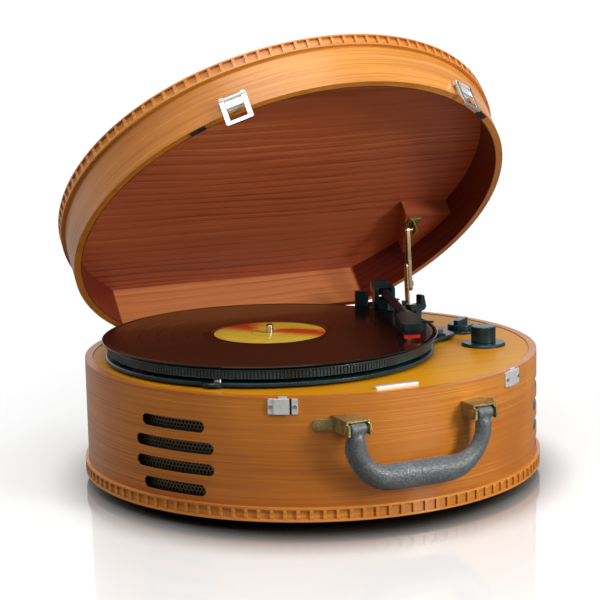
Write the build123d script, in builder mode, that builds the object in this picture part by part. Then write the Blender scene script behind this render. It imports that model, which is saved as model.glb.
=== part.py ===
"""Portable record player in a round bentwood case with a flat back, lid open.

Millimetres. +Z is up, the front (carrying handle) faces -Y and the feet rest on z = 0.
The origin is under the middle of the whole object's bounding box with the lid open.
Lid pieces are modelled closed, then swung open about the hinge when they are saved.
"""
from build123d import *
import os
from math import sin, cos, radians, sqrt, atan2, degrees

os.makedirs("parts", exist_ok=True)

# ================================================================= driving dimensions
SIDES = (-1, 1)          # left and right, seen from the front
CASE_Y = 20.813          # y of the case circle's centre
R_OUT = 205.0            # outer radius of the bentwood wall
REAR = 158.5             # distance from the case centre to the flat rear face
REAR_Y = CASE_Y + REAR
WALL = 7.0
FOOT_H = 8.5
RIM = FOOT_H + 103.6     # height of the base rim, where the lid closes
LID_H = 52.0             # rim to lid top
LID_GAP = 1.2            # gap between closed lid and rim, kept by the bumpers
LID_TOP = RIM + LID_H
LID_PANEL_T = 6.0
LINER_Z = RIM + 40.8     # inner face of the lid's ceiling
LID_OPEN = 41.5          # opening angle of the lid, degrees
FIT = 0.1                # play between the wall and what fits inside it
SKIN = 0.03              # play between the wall and what is mounted on it

MOULD_H = 12.0
MOULD_T = 3.0
DENTIL = 8.0             # side of a square pocket
DENTIL_PITCH = 10.75
DENTIL_FLOOR = 1.2       # from the wall to the floor of a pocket
REAR_DENTILS = 23

HINGE_Y = REAR_Y + 2.6
HINGE_Z = RIM + 11.0
HINGE_X = 82.0
HINGE_PIN_R = 1.5
KNUCKLE_R = 2.55
LEAF_HALF = 16.0
LEAF_T = 1.3             # from the rear face to the outside of a hinge leaf
BASE_KNUCKLE = 7.8       # half length of the middle knuckle
# hinge screws: x from the hinge's middle, height
BASE_HINGE_SCREWS = ((-10, RIM - 9), (10, RIM - 9), (0, RIM - 13))
LID_HINGE_SCREWS = ((-10, HINGE_Z + 13), (10, HINGE_Z + 13), (0, HINGE_Z + 16))

DECK_T = 6.0
DECK_Z = RIM - 0.6       # top of the deck panel
DECK_BASE = DECK_Z - DECK_T
GROMMET_T = 2.2
CHASSIS_T = 3.0
CHASSIS_BASE = DECK_Z + GROMMET_T
CHASSIS_Z = CHASSIS_BASE + CHASSIS_T     # top of the turntable chassis
BOSS_H = 14.0                            # bearing boss below the chassis
CHASSIS_SCREWS = [
    (-137.5, CASE_Y - 112.5), (40, CASE_Y - 80), (-132, CASE_Y + 84), (66, CASE_Y + 88),
]
CHASSIS_HOLE_R = 2.2
FEET = [(x, CASE_Y + y) for x in (-118, 118) for y in (-118, 108)]

SPINDLE_X, SPINDLE_Y = SPINDLE = (-42.8, CASE_Y - 6.0)
SPINDLE_R = 3.6
BORE_R = SPINDLE_R + 0.05               # hole in whatever sits on the spindle
TIP_R = 3.35                            # free end above the record
MOTOR = (SPINDLE_X - 86.0, SPINDLE_Y + 50.0)
PULLEY_R = 6.2
BELT_RING_R = 61.0                      # ring under the platter that the belt runs on
RECORD_R = 150.8
RECORD_T = 1.8
RECORD_Z = FOOT_H + 122.5               # playing surface
LABEL_SINK = 0.15
PLATTER_R = 146.0
MAT_T = 1.2
PLATTER_TOP = RECORD_Z - RECORD_T - MAT_T
PLATTER_H = 8.5

PIVOT_X, PIVOT_Y = PIVOT = (109.0, CASE_Y + 64.0)    # tonearm pivot
ARM_Z = FOOT_H + 136.5                  # tonearm pitch axis
HEAD_X, HEAD_Y = 71.0, CASE_Y - 53.0    # where tube meets headshell
HEAD_HEADING = 22.8                     # degrees from -Y towards -X
HEAD_TUBE_Z = FOOT_H + 134.4            # tube axis at the headshell
HEAD_TOP = FOOT_H + 137.8
STYLUS_X, STYLUS_Y = 50.0, CASE_Y - 103.0
YOKE_Z = FOOT_H + 126.0
YOKE_TOP = FOOT_H + 141.6
REST_ANGLE = 6.0                        # heading of the parked arm, degrees from -Y towards +X
REST_DISTANCE = 52.0

VOLUME = (142.0, CASE_Y - 69.0)
SELECTOR = (156.0, CASE_Y - 3.0)
BUTTON = (118.0, CASE_Y - 29.0)
BEZEL_T = 2.8
KNOB_Z = DECK_Z + 3.2                   # underside of both knobs

SPEAKER_ANGLE = 59.7     # loudspeakers, degrees either side of the front
SPEAKER_R = 160.0        # case centre to the face of a driver
SPEAKER_Z = FOOT_H + 48.5

SOCKET_X, SOCKET_Z = 60.0, FOOT_H + 45  # centre of the rear socket plate
SOCKET_OFFSETS = (-20, 0)               # sockets, measured towards -X from that centre
BOARD_Z = FOOT_H + 12.5
BOARD_TOP = BOARD_Z + 1.6

HANDLE_X = -4.0
HANDLE_HALF = 58.0
HANDLE_ENDS = (HANDLE_X - HANDLE_HALF, HANDLE_X + HANDLE_HALF)
HANDLE_Y = CASE_Y - 218.0
HANDLE_Z = FOOT_H + 81.0
HANDLE_DROP = 43.0       # pivot to grip centreline
HANDLE_BEND = 33.0
HANDLE_PIN_R = 2.5
GRIP_R = 11.0
BRACKET_FOOT_T = 2.2

LATCH_ANGLE = 31.5       # latches, degrees either side of the front
LATCH_PIN_R = R_OUT + 3.0        # case centre to the latch pin
LATCH_PIN_Z = RIM + 12.6
LATCH_KNUCKLE_R = 2.2
STRIKE_T = 1.2
STRIKE_Z = RIM - 7.4
STRIKE_H = 12.8
STRIKE_SCREWS = (-9.9, 9.9)      # across the strike from its middle

STAY_X = 150.0
STAY_LOW_Y, STAY_LOW_Z = CASE_Y + 80.0, FOOT_H + 117.5     # lower pivot
STAY_TOP_Y, STAY_TOP_Z = CASE_Y + 54.0, FOOT_H + 121.5     # upper pivot, lid closed
STAY_BLOCK_Z = FOOT_H + 129.0


# ================================================================= planes
def on(x, y, z):
    """Horizontal plane through a point."""
    return Plane(origin=(x, y, z))


def facing_front(x, y, z):
    """Plane facing -Y, local axes +X and +Z."""
    return Plane(origin=(x, y, z), x_dir=(1, 0, 0), z_dir=(0, -1, 0))


def facing_rear(x, z, off):
    """Plane facing +Y, a distance off behind the rear face, local axes -X and +Z."""
    return Plane(origin=(x, REAR_Y + off, z), x_dir=(-1, 0, 0), z_dir=(0, 1, 0))


def facing_right(x, y, z):
    """Plane facing +X, local axes +Y and +Z."""
    return Plane(origin=(x, y, z), x_dir=(0, 1, 0), z_dir=(1, 0, 0))


def radial(angle, r, z):
    """Plane facing outward from the case axis, angle in degrees from -Y towards +X."""
    a = radians(angle)
    return Plane(
        origin=(r * sin(a), CASE_Y - r * cos(a), z),
        x_dir=(cos(a), sin(a), 0),
        z_dir=(sin(a), -cos(a), 0),
    )


def level_radial(angle, r, z):
    """Horizontal plane at the same point as radial(), local +X tangent to the case."""
    upright = radial(angle, r, z)
    return Plane(origin=upright.origin, x_dir=upright.x_dir, z_dir=(0, 0, 1))


def shifted(plane, x):
    """The same plane moved along its own X."""
    return Plane(origin=plane.from_local_coords((x, 0, 0)), x_dir=plane.x_dir, z_dir=plane.z_dir)


def polar(r, angle):
    """Point at radius r, angle in degrees from -Y towards +X."""
    return (r * sin(radians(angle)), -r * cos(radians(angle)))


# ================================================================= solids
# A sketch made in a helper does not join the caller's part, so it is extruded explicitly.
def d_prism(grow, z0, z1, mode=Mode.ADD):
    """Prism between two heights on the case's D outline, grown outwards by grow."""
    r, rear = R_OUT + grow, REAR + grow
    with BuildSketch(on(0, CASE_Y, z0)) as outline:
        Circle(r)
        with Locations((0, rear + r)):
            Rectangle(2 * r + 10, 2 * r, mode=Mode.SUBTRACT)
    extrude(outline.sketch, amount=z1 - z0, mode=mode)


def disc(plane, r, amount, mode=Mode.ADD):
    """Cylinder standing on a plane."""
    with BuildSketch(plane) as outline:
        Circle(r)
    extrude(outline.sketch, amount=amount, mode=mode)


def rod(x, y, z, r, h, mode=Mode.ADD):
    """Upright cylinder from z."""
    disc(on(x, y, z), r, h, mode)


def xrod(x0, x1, y, z, r, mode=Mode.ADD):
    """Cylinder along X."""
    disc(facing_right(x0, y, z), r, x1 - x0, mode)


def ring(plane, r_out, r_in, amount):
    """Cylinder with a concentric hole, standing on a plane."""
    with BuildSketch(plane) as outline:
        Circle(r_out)
        Circle(r_in, mode=Mode.SUBTRACT)
    extrude(outline.sketch, amount=amount)


def block(x0, x1, y0, y1, z0, z1, mode=Mode.ADD):
    """Box between limits."""
    with BuildSketch(on((x0 + x1) / 2, (y0 + y1) / 2, z0)) as outline:
        Rectangle(x1 - x0, y1 - y0)
    extrude(outline.sketch, amount=z1 - z0, mode=mode)


def spin(plane, axis, points):
    """Closed polygon on a plane, revolved about an axis."""
    with BuildSketch(plane) as profile:
        with BuildLine():
            Polyline(*points, close=True)
        make_face()
    revolve(profile.sketch, axis=axis)


def turned(x, y, points):
    """Polygon of (radius, height) points revolved about the vertical through x, y."""
    spin(facing_front(x, y, 0), Axis((x, y, 0), (0, 0, 1)), points)


def screw(plane, head_r, head_h, shank_r, depth):
    """Flat-topped round screw head standing on a plane, with its shank behind."""
    disc(plane, head_r, head_h)
    disc(plane, shank_r, -depth)


def trim_to_wall(z0, z1):
    """Cuts away everything inside the outer face of the curved wall."""
    rod(0, CASE_Y, z0, R_OUT + SKIN, z1 - z0, Mode.SUBTRACT)


# ================================================================= base case
def case_wall():
    with BuildPart() as wall:
        d_prism(0, FOOT_H, RIM)
        d_prism(-WALL, FOOT_H, RIM, Mode.SUBTRACT)
        # loudspeaker slots, four to a side, from the top down
        for side in SIDES:
            for i, width in enumerate((65.0, 81.0, 81.0, 65.0)):
                slot_z = FOOT_H + 75.5 - 18 * i
                with BuildSketch(radial(side * SPEAKER_ANGLE, R_OUT - 20, slot_z)):
                    SlotOverall(width, 10.0)
                extrude(amount=30, mode=Mode.SUBTRACT)
        # opening for the rear socket plate
        block(SOCKET_X - 33, SOCKET_X + 33, REAR_Y - 15, REAR_Y + 5,
              SOCKET_Z - 15, SOCKET_Z + 15, Mode.SUBTRACT)
    return wall.part


def moulding(z0, z1):
    """Dentil moulding: a proud band with a row of sunk square pockets between thin lips."""
    pocket_z = (z0 + z1) / 2
    corner_x = sqrt(R_OUT**2 - REAR**2)                # half width of the flat back
    arc_half = 180 - degrees(atan2(corner_x, REAR))    # half sweep of the curved wall
    with BuildPart() as band:
        d_prism(MOULD_T, z0, z1)
        d_prism(0.05, z0, z1, Mode.SUBTRACT)
        corners = [
            e for e in band.edges().filter_by(Axis.Z)
            if abs(abs(e.center().X) - corner_x) < 12 and e.center().Y > REAR_Y + 1
        ]
        # the corners stay sharp if the kernel can't round them
        try:
            fillet(corners, 2.0)
        except ValueError:
            pass
        count = int((arc_half - 2.0) * radians(1) * R_OUT / DENTIL_PITCH)
        step = DENTIL_PITCH / R_OUT / radians(1)
        for k in range(-count, count + 1):
            with BuildSketch(radial(k * step, R_OUT + DENTIL_FLOOR, pocket_z)):
                Rectangle(DENTIL, DENTIL)
        with BuildSketch(facing_rear(0, pocket_z, DENTIL_FLOOR)):
            with GridLocations(DENTIL_PITCH, 10, REAR_DENTILS, 1):
                Rectangle(DENTIL, DENTIL)
        extrude(amount=4, mode=Mode.SUBTRACT)
    return band.part


def base_moulding():
    return moulding(FOOT_H, FOOT_H + MOULD_H)


def floor_panel():
    with BuildPart() as panel:
        d_prism(-WALL - FIT, FOOT_H + 0.5, FOOT_H + 6.5)
    return panel.part


def rubber_feet():
    top = FOOT_H + 0.5
    with BuildPart() as feet:
        for x, y in FEET:
            turned(x, y, [(2.6, top), (15.5, top), (14, 1), (13, 0), (7, 0), (7, 4), (2.6, 4)])
    return feet.part


def deck_panel():
    # x, y, radius of the holes for spindle bearing, motor, tonearm wiring and controls
    holes = [(*SPINDLE, 14), (*MOTOR, 22), (*PIVOT, 9), (*VOLUME, 5), (*SELECTOR, 5)]
    with BuildPart() as panel:
        d_prism(-WALL - 0.15, DECK_BASE, DECK_Z)
        for x, y, r in holes:
            rod(x, y, DECK_Z - 10, r, 20, Mode.SUBTRACT)
    return panel.part


def deck_blocks():
    height = 36.0
    with BuildPart() as blocks:
        # angle from the front, distance from the case centre
        for angle, r in ((-150, 152), (-100, 180), (-20, 180), (20, 180), (100, 180), (150, 152)):
            with BuildSketch(level_radial(angle, r, DECK_BASE - height)):
                Rectangle(26, 18)
            extrude(amount=height - 0.05)
    return blocks.part


def badge_bar():
    with BuildPart() as bar:
        with BuildSketch(on(-9.0, CASE_Y - 184.5, DECK_Z)):
            RectangleRounded(40, 6, 1.2)
        extrude(amount=2.6)
        chamfer(bar.faces().sort_by(Axis.Z)[-1].edges(), 0.5)
    return bar.part


# ================================================================= loudspeakers
def speaker_grilles():
    """Plain curved sheets behind the slots."""
    half_sweep = 14.5
    r_out, r_in = R_OUT - WALL - FIT, R_OUT - WALL - 1.0
    with BuildPart() as grilles:
        for side in SIDES:
            middle = side * SPEAKER_ANGLE
            start, end = middle - half_sweep, middle + half_sweep
            with BuildSketch(on(0, CASE_Y, FOOT_H + 10)):
                with BuildLine():
                    ThreePointArc(polar(r_out, start), polar(r_out, middle), polar(r_out, end))
                    Line(polar(r_out, end), polar(r_in, end))
                    ThreePointArc(polar(r_in, end), polar(r_in, middle), polar(r_in, start))
                    Line(polar(r_in, start), polar(r_out, start))
                make_face()
            extrude(amount=77)
    return grilles.part


# radius, distance outwards from the driver's face
CONE_PROFILE = [
    (0, 1.6), (8, 2.6), (9, 5.0), (26.5, 0.9), (29.8, 1.6),
    (29.8, 0.8), (26.5, 0.1), (9.3, 4.1), (8.4, 1.8), (0, 0.8),
]


def speaker_drivers():
    with BuildPart() as drivers:
        for side in SIDES:
            face = radial(side * SPEAKER_ANGLE, SPEAKER_R, SPEAKER_Z)
            # square flange, rim, tapered basket and magnet, from the front inwards
            with BuildSketch(face):
                RectangleRounded(70, 70, 8)
                Circle(31, mode=Mode.SUBTRACT)
            extrude(amount=-2)
            ring(face.offset(-2), 32, 30.5, -4)
            with BuildSketch(face.offset(-6)):
                Circle(32)
            extrude(amount=-14, taper=35)
            disc(face.offset(-20), 22, -14)
        # paper cones, a little clear of the steel frames
        for side in SIDES:
            face = radial(side * SPEAKER_ANGLE, SPEAKER_R, SPEAKER_Z)
            # local +Y of the level plane points inwards
            level = level_radial(side * SPEAKER_ANGLE, SPEAKER_R, SPEAKER_Z)
            spin(level, Axis(face.origin, face.z_dir), [(r, -out) for r, out in CONE_PROFILE])
    return drivers.part


# ================================================================= turntable
# outline of the chassis plate: x, y from the case centre
CHASSIS_OUTLINE = [
    (-150, -119), (-112, -119), (-60, -100), (56, -98),
    (106, -47), (136, -30), (136, 106), (-156, 106),
]
CHASSIS_DISC_R = 147.6   # round part of the plate, just wider than the platter


def turntable_chassis():
    with BuildPart() as chassis:
        with BuildSketch(on(0, CASE_Y, CHASSIS_BASE)):
            with BuildLine():
                Polyline(*CHASSIS_OUTLINE, close=True)
            make_face()
            fillet(vertices(), 9)
            with Locations((SPINDLE_X, SPINDLE_Y - CASE_Y)):
                Circle(CHASSIS_DISC_R)
        extrude(amount=CHASSIS_T)
        chamfer(chassis.faces().sort_by(Axis.Z)[-1].edges(), 0.8)
        rod(*SPINDLE, CHASSIS_BASE - BOSS_H, 11, BOSS_H)
        # holes for spindle, motor pulley, tonearm pivot and screws
        holes = [(*SPINDLE, SPINDLE_R), (*MOTOR, 7.5), (*PIVOT, 6.0)]
        holes += [(x, y, CHASSIS_HOLE_R) for x, y in CHASSIS_SCREWS]
        for x, y, r in holes:
            rod(x, y, CHASSIS_Z - 30, r, 60, Mode.SUBTRACT)
    return chassis.part


def chassis_grommets():
    with BuildPart() as grommets:
        for x, y in CHASSIS_SCREWS:
            ring(on(x, y, DECK_Z), 7, CHASSIS_HOLE_R, GROMMET_T)
    return grommets.part


def spindle():
    bottom = CHASSIS_BASE - BOSS_H
    step = RECORD_Z + 0.1
    top = RECORD_Z + 8.0
    dome = top - 1.6
    with BuildPart() as pin:
        turned(*SPINDLE, [
            (0, bottom), (SPINDLE_R, bottom), (SPINDLE_R, step), (TIP_R, step),
            (TIP_R, dome), (0, dome),
        ])
        with BuildSketch(facing_front(*SPINDLE, 0)):
            with BuildLine():
                Line((0, dome), (TIP_R, dome))
                ThreePointArc((TIP_R, dome), (TIP_R * 0.74, top - 0.5), (0, top))
                Line((0, top), (0, dome))
            make_face()
        revolve(axis=Axis((*SPINDLE, 0), (0, 0, 1)))
    return pin.part


def platter():
    bottom = PLATTER_TOP - PLATTER_H
    under = PLATTER_TOP - 3
    ring_in = BELT_RING_R - 3
    ring_z = CHASSIS_Z + 1.4
    hub_r, hub_z = 10, CHASSIS_Z + 0.4
    with BuildPart() as plate:
        turned(*SPINDLE, [
            (BORE_R, PLATTER_TOP), (PLATTER_R - 0.6, PLATTER_TOP),
            (PLATTER_R, PLATTER_TOP - 0.6), (PLATTER_R, bottom + 0.4),
            (PLATTER_R - 0.4, bottom), (PLATTER_R - 4.5, bottom), (PLATTER_R - 5, under),
            (BELT_RING_R, under), (BELT_RING_R, ring_z), (ring_in, ring_z), (ring_in, under),
            (hub_r, under), (hub_r, hub_z), (BORE_R, hub_z),
        ])
    return plate.part


def platter_mat():
    with BuildPart() as mat:
        ring(on(*SPINDLE, PLATTER_TOP), 142.5, 5, MAT_T)
    return mat.part


def record_disc():
    bottom = RECORD_Z - RECORD_T
    groove_z = RECORD_Z - 0.25
    label_z = RECORD_Z - LABEL_SINK
    with BuildPart() as record:
        turned(*SPINDLE, [
            (BORE_R, bottom), (RECORD_R - 0.7, bottom), (RECORD_R, bottom + 0.6),
            (RECORD_R, bottom + 1.2), (RECORD_R - 0.7, RECORD_Z), (RECORD_R - 2.5, RECORD_Z),
            (RECORD_R - 4.5, groove_z), (54, groove_z), (52, RECORD_Z), (50.2, RECORD_Z),
            (50.2, label_z), (BORE_R, label_z),
        ])
    return record.part


def record_label():
    with BuildPart() as label:
        ring(on(*SPINDLE, RECORD_Z - LABEL_SINK), 50, BORE_R, 0.2)
    return label.part


def drive_motor():
    with BuildPart() as motor:
        rod(*MOTOR, CHASSIS_BASE - 31, 18, 30.9)       # can
        rod(*MOTOR, CHASSIS_BASE - 0.1, 5.5, 2.6)      # collar
        rod(*MOTOR, CHASSIS_BASE, 1.0, 8.6)            # shaft
        # rectangular block underneath
        with BuildSketch(on(*MOTOR, CHASSIS_BASE - 33)):
            Rectangle(16, 8)
        extrude(amount=2.5)
    return motor.part


def motor_pulley():
    z = CHASSIS_Z + 0.6
    bore_r, flange_r = 1.03, 7.2
    with BuildPart() as pulley:
        turned(*MOTOR, [
            (bore_r, z), (flange_r, z), (flange_r, z + 0.9), (PULLEY_R, z + 1.2),
            (PULLEY_R, z + 4.6), (flange_r, z + 4.8), (flange_r, z + 5.4), (bore_r, z + 5.4),
        ])
    return pulley.part


def drive_belt():
    belt_z = CHASSIS_Z + 2.0
    with BuildPart() as belt:
        # distance from the running surfaces, z, height: outside of the loop, then inside
        for off, z, height, mode in (
            (0.95, belt_z, 3.0, Mode.ADD),
            (0.05, belt_z - 1, 6.0, Mode.SUBTRACT),
        ):
            with BuildSketch(on(0, 0, z)):
                with Locations(SPINDLE):
                    Circle(BELT_RING_R + off)
                with Locations(MOTOR):
                    Circle(PULLEY_R + off)
                make_hull()
            extrude(amount=height, mode=mode)
    return belt.part


# ================================================================= tonearm
def arm_plane(x, y, z, heading):
    """Horizontal plane whose -Y follows a heading, degrees from -Y towards -X."""
    h = radians(heading)
    return Plane(origin=(x, y, z), x_dir=(cos(h), -sin(h), 0), z_dir=(0, 0, 1))


def head_plane(z):
    """Horizontal plane with local -Y running along the headshell."""
    return arm_plane(HEAD_X, HEAD_Y, z, HEAD_HEADING)


ARM_HEADING = degrees(atan2(PIVOT_X - HEAD_X, PIVOT_Y - HEAD_Y))
ARM_LEN = sqrt((PIVOT_X - HEAD_X) ** 2 + (PIVOT_Y - HEAD_Y) ** 2)
ARM_SIN, ARM_COS = sin(radians(ARM_HEADING)), cos(radians(ARM_HEADING))
ARM_ACROSS = Vector(ARM_COS, -ARM_SIN, 0)
ARM_STUB = 14.0          # length of tube behind the pivot
CROSS_PIN_R = 1.5
SOCKET_PIN_R = 2.6       # stub that carries the counterweight

# plane across the tube, facing the headshell, through the rear end of the tube
TUBE_DIR = Vector(-ARM_SIN * ARM_LEN, -ARM_COS * ARM_LEN, HEAD_TUBE_Z - ARM_Z).normalized()
TUBE_START = Plane(
    origin=Vector(*PIVOT, ARM_Z) - TUBE_DIR * ARM_STUB, x_dir=ARM_ACROSS, z_dir=TUBE_DIR
)
# plane through the pivot whose normal is the cross pin
CROSS_PLANE = Plane(origin=(*PIVOT, ARM_Z), x_dir=(0, 0, 1), z_dir=ARM_ACROSS)


def tonearm_base():
    with BuildPart() as base:
        with BuildSketch(on(PIVOT_X, PIVOT_Y + 1, CHASSIS_Z)):
            RectangleRounded(48, 52, 8)
        extrude(amount=11)
        chamfer(base.faces().sort_by(Axis.Z)[-1].edges(), 1.2)
        rod(*PIVOT, CHASSIS_Z + 10, 10, FOOT_H + 125.8 - CHASSIS_Z - 10)
        # side tower that carries the lift mechanism
        with BuildSketch(on(PIVOT_X - 7.5, PIVOT_Y + 8, CHASSIS_Z + 10)):
            RectangleRounded(32, 18, 3)
        extrude(amount=FOOT_H + 124.0 - CHASSIS_Z - 10)
        with BuildSketch(on(PIVOT_X - 18.5, PIVOT_Y + 10, CHASSIS_Z + 10.5)):
            RectangleRounded(10, 14, 2)
        extrude(amount=FOOT_H + 136.5 - CHASSIS_Z - 10.5)
        # clear the record's edge, the turning yoke and its stem
        rod(*SPINDLE, CHASSIS_Z + 0.5, RECORD_R + 2.0, 60, Mode.SUBTRACT)
        rod(*PIVOT, FOOT_H + 125.85, 15.3, 20, Mode.SUBTRACT)
        rod(*PIVOT, CHASSIS_Z + 2, 4.05, 40, Mode.SUBTRACT)
    return base.part


def tonearm_yoke():
    with BuildPart() as yoke:
        rod(*PIVOT, CHASSIS_Z + 3, 4.0, YOKE_Z - CHASSIS_Z - 3)
        with BuildSketch(arm_plane(*PIVOT, YOKE_Z, ARM_HEADING)):
            RectangleRounded(20, 21, 2.0)
        extrude(amount=YOKE_TOP - YOKE_Z)
        chamfer(yoke.faces().sort_by(Axis.Z)[-1].edges(), 0.8)
        # tunnel the arm passes through
        tunnel = Plane(
            origin=(*PIVOT, ARM_Z), x_dir=ARM_ACROSS, z_dir=(-ARM_SIN, -ARM_COS, 0)
        )
        with BuildSketch(tunnel.offset(-20)):
            with Locations((0, -1.0)):
                RectangleRounded(12.4, 11.6, 1.5)
        extrude(amount=40, mode=Mode.SUBTRACT)
        disc(CROSS_PLANE.offset(-20), CROSS_PIN_R, 40, Mode.SUBTRACT)
    return yoke.part


def tonearm_pivot_pin():
    with BuildPart() as pin:
        disc(CROSS_PLANE.offset(-9.8), CROSS_PIN_R, 19.6)
    return pin.part


def tonearm_tube():
    """Tapered oval tube with a thin rear stub, bored for the cross pin."""
    # distance from the tube's rear end, half width, half height
    stations = (
        (0, 4.9, 3.9),
        (ARM_STUB + 30, 4.7, 3.8),
        (ARM_STUB + ARM_LEN - 2, 3.6, 3.1),
    )
    with BuildPart() as tube:
        for distance, half_width, half_height in stations:
            with BuildSketch(TUBE_START.offset(distance)):
                Ellipse(half_width, half_height)
        loft()
        disc(TUBE_START.offset(-16), SOCKET_PIN_R, 16.5)
        disc(CROSS_PLANE.offset(-8), CROSS_PIN_R + 0.05, 16, Mode.SUBTRACT)
    return tube.part


def counterweight():
    with BuildPart() as weight:
        with BuildSketch(TUBE_START.offset(-15)):
            RectangleRounded(17, 13.5, 4)
            Circle(SOCKET_PIN_R, mode=Mode.SUBTRACT)
        extrude(amount=14.8)
    return weight.part


# across and along (towards -Y) the headshell
HEADSHELL_OUTLINE = [
    (-5.0, 3.0), (5.0, 3.0), (9.6, -12), (9.6, -56),
    (6.5, -61), (-6.5, -61), (-9.6, -56), (-9.6, -12),
]
FINGER_LIFT_OUTLINE = [
    (9.0, -38), (16.5, -43), (20.0, -43), (20.0, -46), (15.5, -47), (9.0, -44),
]
STYLUS_OUTLINE = [
    (-7.0, -57), (7.0, -57), (7.0, -47), (4.6, -42), (-4.6, -42), (-7.0, -47),
]


def headshell():
    with BuildPart() as shell:
        with BuildSketch(head_plane(FOOT_H + 131.2)):
            with BuildLine():
                Polyline(*HEADSHELL_OUTLINE, close=True)
            make_face()
        extrude(amount=HEAD_TOP - FOOT_H - 131.2)
        # hollow underside for the cartridge
        with BuildSketch(head_plane(FOOT_H + 131.0)):
            with Locations((0, -38)):
                Rectangle(15.4, 38)
        extrude(amount=3.6, mode=Mode.SUBTRACT)
        # socket for the tube
        with BuildSketch(TUBE_START.offset(ARM_STUB + ARM_LEN - 40)):
            Ellipse(4.05, 3.55)
        extrude(amount=38.05, mode=Mode.SUBTRACT)
        # finger lift on the side away from the spindle
        with BuildSketch(head_plane(HEAD_TOP - 2.2)):
            with BuildLine():
                Polyline(*FINGER_LIFT_OUTLINE, close=True)
            make_face()
        extrude(amount=1.5)
    return shell.part


def cartridge():
    with BuildPart() as body:
        with BuildSketch(head_plane(FOOT_H + 127.6)):
            with Locations((0, -38)):
                Rectangle(14.6, 36)
        extrude(amount=6.8)
        with BuildSketch(head_plane(FOOT_H + 126.4)):
            with Locations((0, -32)):
                Rectangle(12, 18)
        extrude(amount=1.3)
    return body.part


def stylus():
    """Stylus carrier under the cartridge nose, with the diamond tip."""
    with BuildPart() as carrier:
        with BuildSketch(head_plane(FOOT_H + 124.4)):
            with BuildLine():
                Polyline(*STYLUS_OUTLINE, close=True)
            make_face()
        extrude(amount=3.1)
        with BuildSketch(on(STYLUS_X, STYLUS_Y, FOOT_H + 122.85)):
            Circle(0.25)
        with BuildSketch(on(STYLUS_X, STYLUS_Y, FOOT_H + 124.6)):
            Circle(0.7)
        loft()
    return carrier.part


# a low lip on the record side, a tall stop on the other: across the arm, height
CRADLE_PROFILE = [
    (-4.5, 0), (9.0, 0), (11.5, 3), (9.2, 14.0), (5.4, 14.0),
    (5.2, 5.8), (-4.0, 5.8), (-4.6, 6.4), (-6.2, 6.4), (-6.4, 2.5),
]


def arm_rest():
    a = radians(REST_ANGLE)
    x, y = PIVOT_X + REST_DISTANCE * sin(a), PIVOT_Y - REST_DISTANCE * cos(a)
    post_z = CHASSIS_Z + 2.9
    with BuildPart() as rest:
        with BuildSketch(arm_plane(x + 3, y, CHASSIS_Z, -REST_ANGLE)):
            RectangleRounded(18, 14, 3)
        extrude(amount=3)
        with BuildSketch(arm_plane(x + 2.5, y, post_z, -REST_ANGLE)):
            Rectangle(6, 8)
        extrude(amount=FOOT_H + 126 - post_z)
        cradle = Plane(
            origin=(x - 4 * sin(a), y + 4 * cos(a), FOOT_H + 125),
            x_dir=(cos(a), sin(a), 0),
            z_dir=(sin(a), -cos(a), 0),
        )
        with BuildSketch(cradle):
            with BuildLine():
                Polyline(*CRADLE_PROFILE, close=True)
            make_face()
        extrude(amount=8)
        # clear the record's edge
        rod(*SPINDLE, CHASSIS_Z + 3.5, RECORD_R + 1.0, 60, Mode.SUBTRACT)
    return rest.part


# y and z from the lever's spindle
CUE_LEVER_PROFILE = [
    (-2.0, -2.4), (2.4, -2.0), (2.0, 2.4), (-20, 10.5), (-22.5, 10.5), (-22.5, 7.0),
]


def cue_lever():
    """Short lever on a cross spindle at the right side of the tonearm base."""
    x, y, z = PIVOT_X + 24.3, PIVOT_Y - 10.0, CHASSIS_Z + 6.0
    with BuildPart() as lever:
        xrod(x, x + 4.6, y, z, 3.2)
        with BuildSketch(facing_right(x + 0.6, y, z)):
            with BuildLine():
                Polyline(*CUE_LEVER_PROFILE, close=True)
            make_face()
        extrude(amount=3.0)
    return lever.part


def cue_lift():
    """Curved bar under the arm on its own post."""
    r_in, r_out = 18.5, 22.5
    left, middle, right = -42, -15, 16      # degrees from -Y towards +X
    with BuildPart() as lift:
        with BuildSketch(on(*PIVOT, FOOT_H + 130.2)):
            with BuildLine():
                ThreePointArc(polar(r_in, left), polar(r_in, middle), polar(r_in, right))
                Line(polar(r_in, right), polar(r_out, right))
                ThreePointArc(polar(r_out, right), polar(r_out, middle), polar(r_out, left))
                Line(polar(r_out, left), polar(r_in, left))
            make_face()
        extrude(amount=1.4)
        post_x, post_y = polar((r_in + r_out) / 2, 8)
        post_z = CHASSIS_Z + 11.1
        rod(PIVOT_X + post_x, PIVOT_Y + post_y, post_z, 1.7, FOOT_H + 130.4 - post_z)
    return lift.part


# ================================================================= controls on the deck
def control_bezels():
    with BuildPart() as bezels:
        ring(on(*VOLUME, DECK_Z), 20, 3.2, BEZEL_T)
        ring(on(*SELECTOR, DECK_Z), 17, 3.2, BEZEL_T)
        # bevel the outer edges only
        top_edges = bezels.faces().group_by(Axis.Z)[-1].edges()
        chamfer(top_edges.filter_by(lambda e: e.radius > 10), 1.2)
        ring(on(*BUTTON, CHASSIS_Z), 6.4, 4.1, 1.4)
    return bezels.part


def volume_knob():
    height = 14.4
    with BuildPart() as knob:
        rod(*VOLUME, DECK_Z - 10, 3.0, 14)
        rod(*VOLUME, KNOB_Z, 11.2, height)
        chamfer(knob.faces().sort_by(Axis.Z)[-1].edges(), 0.8)
        # pointer groove in the top, towards the rear
        x, y, z = *VOLUME, KNOB_Z + height - 0.4
        block(x - 0.6, x + 0.6, y + 5.5, y + 10.5, z, z + 2, Mode.SUBTRACT)
    return knob.part


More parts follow.
